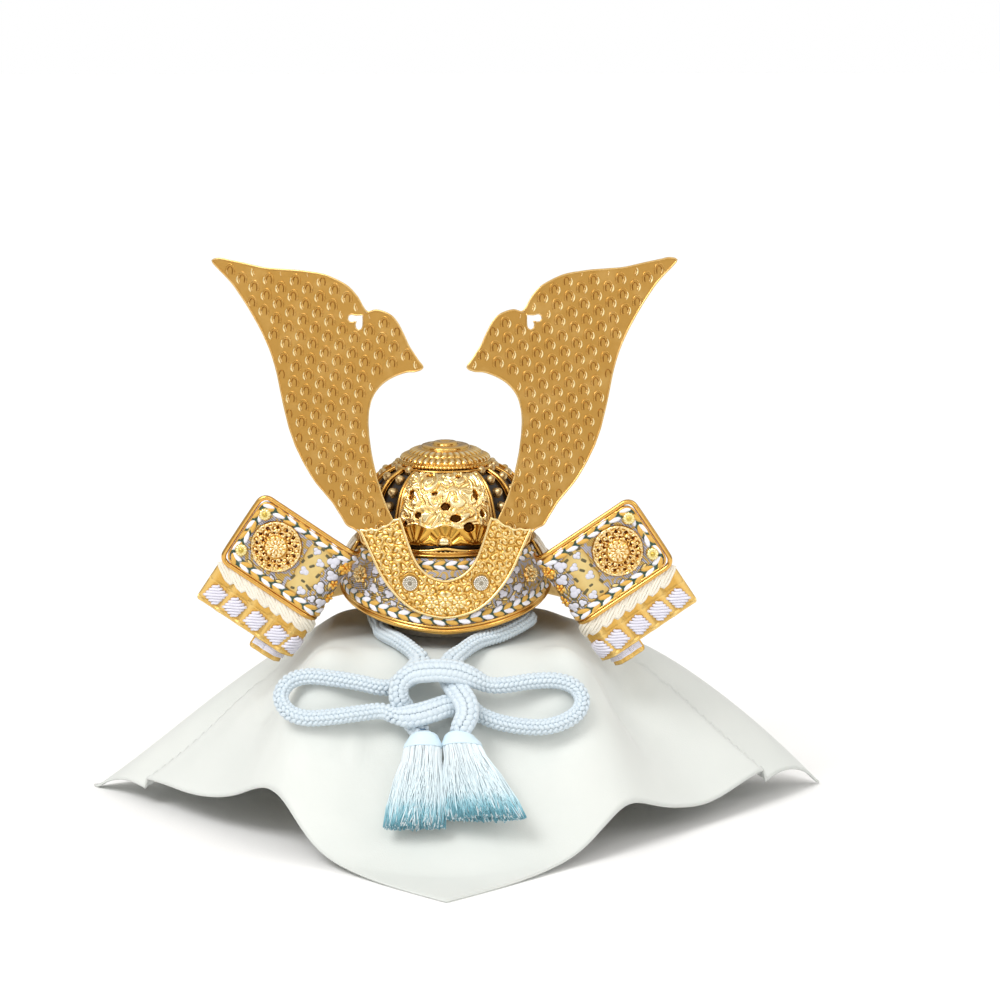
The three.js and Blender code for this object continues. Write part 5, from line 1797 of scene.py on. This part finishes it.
def turnback_outline(inset, count):
    """The line round the turn-back at an inset from its edge, open at the rolled end."""
    half, corner = PANEL_INSIDE - inset, 5.0
    start = PANEL_OUTER + 3.1 + inset
    turn = np.radians(np.linspace(0, 90, 7))
    top = [(PANEL_END - 1, half), (30, half), (10, half), (-8, half), (start + corner + 4, half)]
    upper = [(start + corner * (1 - np.sin(a)), half - corner * (1 - np.cos(a))) for a in turn]
    lower = [(start + corner * (1 - np.cos(a)), -half + corner * (1 - np.sin(a))) for a in turn]
    flat = through(top + upper + lower + [(x, -y) for x, y in reversed(top)], count)
    return flat


# Millimetres along the turn-back and up it: a gold field beside the medallion, and over it clouds
# (a centre, a size, a turn), gold leaves and dark dashes (a centre, half length, half width, turn).
GOLD_FIELD = [
    (7.4, 15.8), (12.4, 16.4), (18.6, 14.6), (20.8, 8.6), (19.2, 3.4), (21.4, -2.6), (18.4, -8.6),
    (19.4, -14.0),
]
GOLD_FIELD += [(12.6, -15.6), (6.2, -14.4), (7.8, -8.8), (6.0, -3.2), (6.8, 2.2), (5.8, 8.2)]
PANEL_CLOUDS = [(21.6, 11.4, 3.6, 60), (24.8, 4.4, 3.4, 10), (15.6, 7.0, 2.6, 0), (22.6, -4.6, 3.4, -40)]
PANEL_CLOUDS += [(10.6, -1.6, 2.8, 0), (15.2, -12.0, 2.8, 10), (10.6, 11.6, 2.4, 20), (28.2, -12.4, 3.4, 30)]
PANEL_CLOUDS += [(26.4, 15.4, 2.2, 10), (22.6, -12.6, 2.2, 70), (-2.2, -15.2, 1.6, 0), (34.6, 4.6, 3.0, 40)]
PANEL_LEAVES = [
    (-16.5, -14.6, 2.4, 0.9, -15), (-27.0, 1.4, 0.9, 2.8, 0), (2.4, -14.4, 2.2, 0.9, 20),
    (36.8, -9.4, 2.6, 3.4, 0),
]
PANEL_LEAVES += [
    (18.8, -16.2, 2.4, 0.8, 0), (26.8, -1.2, 0.9, 2.6, 20), (-14.0, 16.4, 2.6, 0.7, 0),
    (26.6, 9.4, 2.0, 0.8, -60),
]
PANEL_LEAVES += [(-8.0, -15.8, 2.2, 0.7, 10), (3.2, 16.4, 2.4, 0.7, 0), (33.6, -2.6, 0.8, 2.2, -20)]
PANEL_DASHES = [
    (8.2, 14.6, 1.5, 0.9, 10), (9.2, 7.4, 1.9, 1.0, 60), (17.4, 12.6, 1.7, 0.9, -10),
    (13.0, 3.2, 1.9, 0.9, 50),
]
PANEL_DASHES += [
    (7.4, -7.6, 1.6, 0.8, 70), (17.6, -8.0, 2.2, 0.9, -20), (13.4, -6.6, 1.4, 0.8, 0),
    (18.6, 0.4, 1.7, 0.9, 80),
]
PANEL_DASHES += [
    (10.6, -13.0, 1.3, 0.8, 20), (30.0, 7.4, 1.5, 0.8, 30), (29.8, -4.4, 1.9, 0.7, 75),
    (13.0, 14.4, 1.3, 0.8, 0),
]
PANEL_DASHES += [
    (7.4, 2.8, 1.3, 0.8, 85), (22.4, 15.8, 1.3, 0.7, 0), (19.4, 6.6, 1.3, 0.8, 10),
    (25.2, -8.4, 1.6, 0.7, 30),
]


def turnbacks():
    """Brocade over a stiff leaf, with clouds, gold leaves and dark dashes woven in, and a braided edge."""
    shell, plain = bent_plate(PANEL_OUTER + 3.1, PANEL_END, -PANEL_INSIDE, PANEL_INSIDE, 5, 0, 80, 26)
    field = laid(GOLD_FIELD, panel_surface, 0.16, rings=10, count=60)
    flowers = blossom(
        (30.2, 12.0), 4.8, panel_surface, 6, 0.3, 1.2
    ) + blossom((30.2, 12.0), 2.6, panel_surface, 5, 0.0, 1.9)
    flowers += blossom((28.8, 0.6), 3.0, panel_surface, 5, 0.0, 1.1)
    flowers += blossom((33.0, -7.6), 3.8, panel_surface, 6, 0.6, 1.2)
    groups = [(BROCADE, [shell]), (FOIL, [field]), (ORANGE_GOLD, flowers)]
    groups += clouds(PANEL_CLOUDS, panel_surface)
    groups += leaves(PANEL_LEAVES, panel_surface)
    groups += dashes(PANEL_DASHES, panel_surface)
    line = turnback_outline(2.6, 420)
    places, normals = panel_surface(line)
    groups += braid(places + normals * 0.1, normals, 5.0, 6.9)
    on_panels("turnback_brocade", groups, "turnback", plain)


def turnback_rims():
    """A gold tube round each turn-back, with a fine wire inside it."""
    forms = []
    for inset, radius, lift in ((-1.7, 1.4, 0.0), (0.35, 0.6, 0.7)):
        places, normals = panel_bend(*turnback_outline(inset, 260).T)
        forms.append(strands(places + normals * lift, radius, sides=12, up=normals[None], shade=0.5))
    plain = panel_bend(*turnback_outline(-1.7, 260).T)[0]
    on_panels("turnback_rim_tube", [(BRIGHT_GOLD, forms)], "turnback_rim", plain)


def disc_corners(radius, thick):
    """The box of a low disc that faces the front, for seating its detailed form."""
    turn = np.linspace(0, 2 * np.pi, 24, endpoint=False)
    ring = np.stack([radius * np.cos(turn), 0 * turn, radius * np.sin(turn)], -1)
    cap = ring * 0.34 - np.array([0, thick, 0])
    return np.concatenate([ring, cap])


def medallions():
    """A pierced boss: a beaded rim, a lace of curls with two rings of openings, and a raised flower."""
    radius = 14.5
    rows = np.concatenate([np.linspace(0.4, 14.0, 40), [14.5, 14.5]])
    base = np.concatenate([np.full(40, 1.0), [0.7, 0.0]])

    def chased(angle, ring, height):
        lace = scrollwork(ring * np.cos(angle), ring * np.sin(angle), 3.3, 1.7, 8, 0.7)
        openings = np.zeros_like(ring)
        for count, at, start, size in ((13, 11.0, 0.0, 0.8), (13, 8.0, 0.5, 0.6)):
            turn = (angle / (2 * np.pi) * count + start) % 1 - 0.5
            off = np.hypot(turn * 2 * np.pi * at / count, ring - at)
            openings = np.maximum(openings, 1 - smooth(size * 0.7, size * 1.25, off))
        petal = np.abs(np.cos(5 * angle)) ** 0.5 * smooth(1.2, 2.0, ring) * (1 - smooth(3.6, 4.2, ring))
        second = 0.8 * np.abs(np.sin(5 * angle)) ** 0.5 * smooth(3.6, 4.2, ring) * (
            1 - smooth(5.6, 6.2, ring)
        )
        button = 1 - smooth(1.0, 1.8, ring)
        beads = np.abs(np.cos(22 * angle)) ** 0.7 * np.exp(-(((ring - 13.5) / 0.6) ** 2))
        flower = np.maximum(np.maximum(petal, second), button)
        relief = np.where(ring < 7.0, 0.25 * lace + flower, np.maximum(lace, 1.1 * beads) * (1 - openings))
        relief = relief * (height > 0.9)
        lift = height + 1.15 * relief + np.where(
            ring < 7, 0.7, 0
        ) * (height > 0.9) - 1.0 * openings * (ring > 7)
        # Painted light: lighter on the raised lace and flower as highlight, darker in the ground as shade,
        # darker still in the openings.
        return ring, lift, np.clip(0.14 + 0.72 * relief - 0.6 * openings, 0, 1)

    face = turned(np.stack([rows, base], -1)[::-1], 150, chased)
    forms = [face.moved(turn_about("x", 90))]
    on_panels(
        "medallion_chased", [(LACE_GOLD, forms)], "medallion", disc_corners(radius, 2.6)
    )


def bosses():
    """A small pale chrysanthemum stud in each outer corner of the turn-back."""

    def petals(angle, ring, height):
        lobe = np.abs(np.cos(6 * angle)) ** 0.5 * smooth(1.0, 1.8, ring)
        # Painted light: the petal lobes lighter as highlight, the grooves between them darker as shade.
        return ring * (1 + 0.06 * (lobe - 0.5)), height + 0.5 * (lobe - 0.4) * (ring > 1.0), np.clip(
            0.35 + 0.55 * lobe, 0, 1
        )

    rows = [
        (0.01, 0), (3.4, 0), (3.5, 0.6), (3.3, 1.2), (2.8, 1.7), (2.1, 2.0), (1.5, 2.0), (1.2, 2.1),
        (1.1, 2.6),
    ]
    rows += [(0.8, 2.9), (0.01, 3.0)]
    stud = turned(rows, 60, petals).moved(turn_about("x", 90))
    for node in ("boss_upper", "boss_lower"):
        on_panels(node + "_stud", [(PALE_GOLD, [stud])], node, disc_corners(3.4, 3.0))


LACE_KNOTS = (-22.8, -10.2, 3.6, 17.8, 29.0)


def yarn_bundle(flat, set_back, lift, across, count, radius, shade):
    """Yarns that run side by side along a flat path: offsets lie across it, half width by half width."""
    made = []
    step = unit(np.gradient(flat, axis=0))
    flank = np.stack([-step[:, 1], step[:, 0]], -1)
    for k in range(count):
        offset = (k - (count - 1) / 2) / max(count - 1, 1) * 2 * (across - radius)
        line = flat + flank * offset[:, None]
        places, normals = panel_bend(line[:, 0], line[:, 1], set_back)
        arch = 1 - ((k - (count - 1) / 2) / (count / 2)) ** 2
        swell = PANEL_THICK / 2 + lift + 0.9 * arch * np.sin(np.linspace(0.35, np.pi - 0.1, len(flat)))
        made.append(
            strands(places + normals * swell[:, None], radius, sides=6, up=normals[None], shade=shade)
        )
    return made


def lower_lames():
    """Gilt lames below each turn-back: cream hanks hang over them, lavender cross-knots are laced on."""

    def scales(run, height):
        # Stepped scale edges between the knots, a raised foot and a rolled top line.
        between = np.array([-29.5, -16.5, -3.2, 10.6, 23.6, 33.6])
        nearest = np.abs(run[..., None] - between).min(-1)
        ridge = 1 - smooth(1.0, 1.7, nearest)
        step = 0.5 * (1 - smooth(2.2, 2.6, nearest))
        foot = 1 - smooth(-46.8, -46.2, height)
        line = np.exp(-(((height + 34.6) / 0.4) ** 2))
        return 0.6 * np.maximum(ridge, step) + 0.55 * foot + 0.3 * line

    lame, plain = bent_plate(-31, PANEL_END - 6, -48.2, -24.2, 2, 3, 130, 40, scales)
    cream, lilac = [], []
    for k in range(8):
        x = -30.0 + 7.7 * k
        path = through([(x, -22.6), (x + 3.4, -24.8), (x + 7.4, -27.4), (x + 11.6, -30.4)], 14)
        path[:, 0] = np.clip(path[:, 0], -30.2, PANEL_END - 6.6)
        narrow = np.interp(np.linspace(0, 1, 14), [0, 0.15, 0.75, 1], [2.8, 3.5, 3.3, 1.6])
        cream += yarn_bundle(path, 3, 0.7 + 0.25 * (k % 2), narrow, 4, 0.95, 0.6 + 0.08 * (k % 3))
    for x in LACE_KNOTS:
        level, rise = LEVEL, np.array([-LEVEL[1], LEVEL[0]])
        for j in range(7):
            t = (j - 3) / 3.5
            half = 5.6 * (1 - abs(t)) + 1.0
            centre = np.array([x, -40.8]) + rise * t * 5.4
            reach, bow = level * half, rise * 0.3
            ends = [centre - reach - bow, centre - reach * 0.5, centre + reach * 0.5, centre + reach + bow]
            line = through(ends, 10)
            line[:, 0] = np.minimum(line[:, 0], PANEL_END - 6.5)
            places, normals = panel_bend(line[:, 0], line[:, 1], 3)
            crown = 1.5 * np.sqrt(np.clip(1 - np.linspace(-1, 1, 10) ** 2, 0, 1)) * (1 - 0.55 * t * t)
            lifted = places + normals * (PANEL_THICK / 2 + 0.2 + crown)[:, None]
            lilac.append(strands(lifted, 0.86, sides=6, up=normals[None], shade=0.6 + 0.15 * (j % 2)))
    groups = [(SCALE_GOLD, [lame]), (CREAM_SILK, cream), (LILAC_SILK, lilac)]
    on_panels("lower_lame_laced", groups, "lower_lame", plain)

    def under_scales(run, height):
        return 0.4 * (
            1 - smooth(0.8, 1.4, np.abs((run + 2) % 6.5 - 3.2))
        ) + 0.4 * (1 - smooth(-54.4, -53.8, height))

    under, plain = bent_plate(11.5, PANEL_END - 10, -55.4, -32, 2, 5.2, 50, 20, under_scales)
    under_laces = []
    for x in (16.0, 23.0, 29.5):
        for j in range(4):
            line = through(
                [(x - 3.6, -52.4 + 0.95 * j), (x, -52.2 + 0.95 * j), (x + 3.6, -52.4 + 0.95 * j)], 8
            )
            places, normals = panel_bend(line[:, 0], line[:, 1], 5.2)
            lifted = places + normals * (PANEL_THICK / 2 + 0.5)
            under_laces.append(strands(lifted, 0.55, sides=6, up=normals[None], shade=0.8))
    shift = np.array([-3.5, 0, 0])
    forms = [under.moved(shift=shift)]
    laces = [f.moved(shift=shift) for f in under_laces]
    groups = [(SCALE_GOLD, forms), (LILAC_SILK, laces)]
    on_panels("under_lame_laced", groups, "under_lame", plain + shift)


# ---------------------------------------------------------------- neck guard

NECK_TOP, NECK_STEP, NECK_TALL = 157, 10.5, 14
NECK_REACH, NECK_REACH_STEP = 50, 8.2
# Half the width of the opening in front.
NECK_OPENING = 14


def neck_lames():
    """Flared gilt lames of narrow scales, hung one outside another on rows of silk lacing."""
    for k in range(4):
        top, reach = NECK_TOP - NECK_STEP * k, NECK_REACH + NECK_REACH_STEP * k
        start = math.acos(NECK_OPENING / (reach + NECK_REACH_STEP))
        columns, rows = 220, 12
        angle = np.linspace(start, 2 * np.pi - start, columns)[:, None]
        up = np.linspace(0, 1, rows)[None, :]
        scale = np.abs(np.sin(angle * reach / 4.2 * np.pi / 2))
        lift = 0.5 * scale * smooth(0.0, 0.15, up) + 0.5 * np.exp(-(((up - 0.06) / 0.05) ** 2))
        radius = reach + NECK_REACH_STEP * (1 - up)
        height = top - NECK_TALL * (1 - up)
        outside = around(angle, radius + 0.6 + lift, height)
        # Raised scale ridges and the rolled line by the lower edge are painted lighter as highlight, and low
        # parts darker as shade.
        sheet = plate(
            outside, around(angle, radius - 0.6, height), np.clip(0.3 + 0.5 * lift + 0 * angle, 0, 1)
        )
        count = int((2 * np.pi - 2 * start) * (reach + 4) / 6.4)
        at = np.linspace(start + 0.05, 2 * np.pi - start - 0.05, count)[:, None]
        laces = []
        for side in (-1, 0, 1):
            level = np.array([[0.22, 0.34, 0.5, 0.66, 0.84, 1.02]])
            out = np.array([[0.6, 1.3, 1.5, 1.5, 1.3, 0.4]])
            spread = reach + NECK_REACH_STEP * (1 - level) + 0.6 + out
            paths = around(at + side * 1.3 / reach, spread, top - NECK_TALL * (1 - level))
            laces.append(strands(paths, 0.62, 0.5, sides=6, up=around(at, 1, 0), shade=0.4))
        plain = around(angle, radius, height)
        node = "neck_lame_%d" % (k + 1)
        groups = [(SCALE_GOLD, [sheet]), (LILAC_SILK if k == 3 else CREAM_SILK, laces)]
        placed(node + "_laced", groups, [node], plain)


horn_relief()
turnbacks()
turnback_rims()
medallions()
bosses()
lower_lames()
neck_lames()

# ---------------------------------------------------------------- carried-over CAD nodes

CARRIED = {
    "stand_box": (BOARD, "board"),
    "helmet_post": (BOARD, "board"),
    "horn_left": (SATIN_GOLD, "satin_gold"),
    "horn_right": (SATIN_GOLD, "satin_gold"),
}
for node, (look, slot) in CARRIED.items():
    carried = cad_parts[node]
    carried.data.materials.clear()
    carried.data.materials.append(look)

# ---------------------------------------------------------------- floor and light


def floor():
    """A plain pale sheet of matt card under the set."""
    made, tree, shader = finish("pale_matt_card", roughness=0.9)
    where = add(tree, "ShaderNodeTexCoord").outputs["Object"]
    tooth = add(tree, "ShaderNodeTexNoise", {"Vector": where, "Scale": 900.0, "Detail": 2.0})
    tone = add(
        tree, "ShaderNodeValToRGB", {"Fac": tooth.outputs["Fac"]}, [(0.3, "#FBFBFA"), (0.7, "#FFFFFF")]
    )
    tree.links.new(tone.outputs["Color"], shader.inputs["Base Color"])
    mesh = bpy.data.meshes.new("floor")
    reach = 6.0
    mesh.from_pydata(
        [(-reach, -reach, 0), (reach, -reach, 0), (reach, reach, 0), (-reach, reach, 0)], [], [(0, 1, 2, 3)]
    )
    mesh.materials.append(made)
    ground = bpy.data.objects.new("floor", mesh)
    bpy.context.scene.collection.objects.link(ground)


def softbox(name, place, aim, size, power):
    """A soft white lamp with a flat front."""
    data = bpy.data.lights.new(name, "AREA")
    data.shape = "RECTANGLE"
    data.size, data.size_y = size
    data.energy = power
    lamp = bpy.data.objects.new(name, data)
    lamp.location = place
    lamp.rotation_euler = (Vector(aim) - Vector(place)).to_track_quat("-Z", "Y").to_euler()
    bpy.context.scene.collection.objects.link(lamp)


WINDOW_POWER = 1.4
WINDOW_FROM = (-0.42, -0.5, 0.76)
WINDOW_SPREAD = 24
FOOT_BAND = [(0.0, "#D8D8D8"), (0.1, "#8E8E8E"), (0.24, "#E6E6E6"), (0.34, "#FFFFFF")]


def high_window():
    """A broad soft light from high on the left, in front, which rounds the folds."""
    data = bpy.data.lights.new("high_window", "SUN")
    data.energy = WINDOW_POWER
    data.angle = math.radians(WINDOW_SPREAD)
    lamp = bpy.data.objects.new("high_window", data)
    lamp.rotation_euler = Vector(WINDOW_FROM).to_track_quat("Z", "Y").to_euler()
    bpy.context.scene.collection.objects.link(lamp)


def studio():
    """A white tent, a little brighter overhead and in front, with three soft lamps for the gilt."""
    world = bpy.data.worlds.new("studio")
    world.use_nodes = True
    tree = world.node_tree
    way = add(tree, "ShaderNodeTexCoord").outputs["Generated"]
    parts = add(tree, "ShaderNodeSeparateXYZ", {0: way})
    rise = add(
        tree,
        "ShaderNodeMapRange",
        {"Value": parts.outputs["Z"], "From Min": -0.1, "From Max": 1.0, "To Min": 0.8, "To Max": 0.92},
    )
    sideways = add(
        tree,
        "ShaderNodeMapRange",
        {"Value": parts.outputs["X"], "From Min": -1.0, "From Max": 1.0, "To Min": 0.85, "To Max": 1.15},
    )
    # The front of the tent, towards the viewer, is the brightest wall.
    front = add(
        tree,
        "ShaderNodeMapRange",
        {"Value": parts.outputs["Y"], "From Min": -1.0, "From Max": 0.6, "To Min": 1.25, "To Max": 0.7},
    )
    walls = add(
        tree, "ShaderNodeMath", {
            0: front.outputs["Result"], 1: sideways.outputs["Result"]
        }, operation="MULTIPLY"
    )
    # A dim band round the foot of the walls draws the edges of the gilt.
    foot = add(tree, "ShaderNodeValToRGB", {"Fac": parts.outputs["Z"]}, FOOT_BAND)
    soft = add(
        tree, "ShaderNodeMath", {0: foot.outputs["Color"], 1: walls.outputs["Value"]}, operation="MULTIPLY"
    )
    level = add(
        tree, "ShaderNodeMath", {0: rise.outputs["Result"], 1: soft.outputs["Value"]}, operation="MULTIPLY"
    )
    room = tree.nodes["Background"]
    room.inputs["Color"].default_value = colour("#FBF9F6")
    tree.links.new(level.outputs["Value"], room.inputs["Strength"])
    backdrop = add(tree, "ShaderNodeBackground", {"Color": colour("#FFFFFF"), "Strength": 1.0})
    ray = add(tree, "ShaderNodeLightPath")
    both = add(
        tree,
        "ShaderNodeMixShader",
        {0: ray.outputs["Is Camera Ray"], 1: room.outputs["Background"], 2: backdrop.outputs["Background"]},
    )
    tree.links.new(both.outputs["Shader"], tree.nodes["World Output"].inputs["Surface"])
    bpy.context.scene.world = world
    softbox("left_lamp", (-1.2, -1.2, 1.2), (0, 0, 0.12), (0.5, 0.7), 2.6)
    softbox("right_lamp", (1.3, -0.9, 1.0), (0, 0, 0.12), (0.5, 0.7), 2.6)
    softbox("front_lamp", (0.2, -1.9, 1.5), (0, 0, 0.16), (0.5, 0.4), 2.4)


floor()
studio()
high_window()
bpy.context.scene.view_settings.view_transform = "Standard"
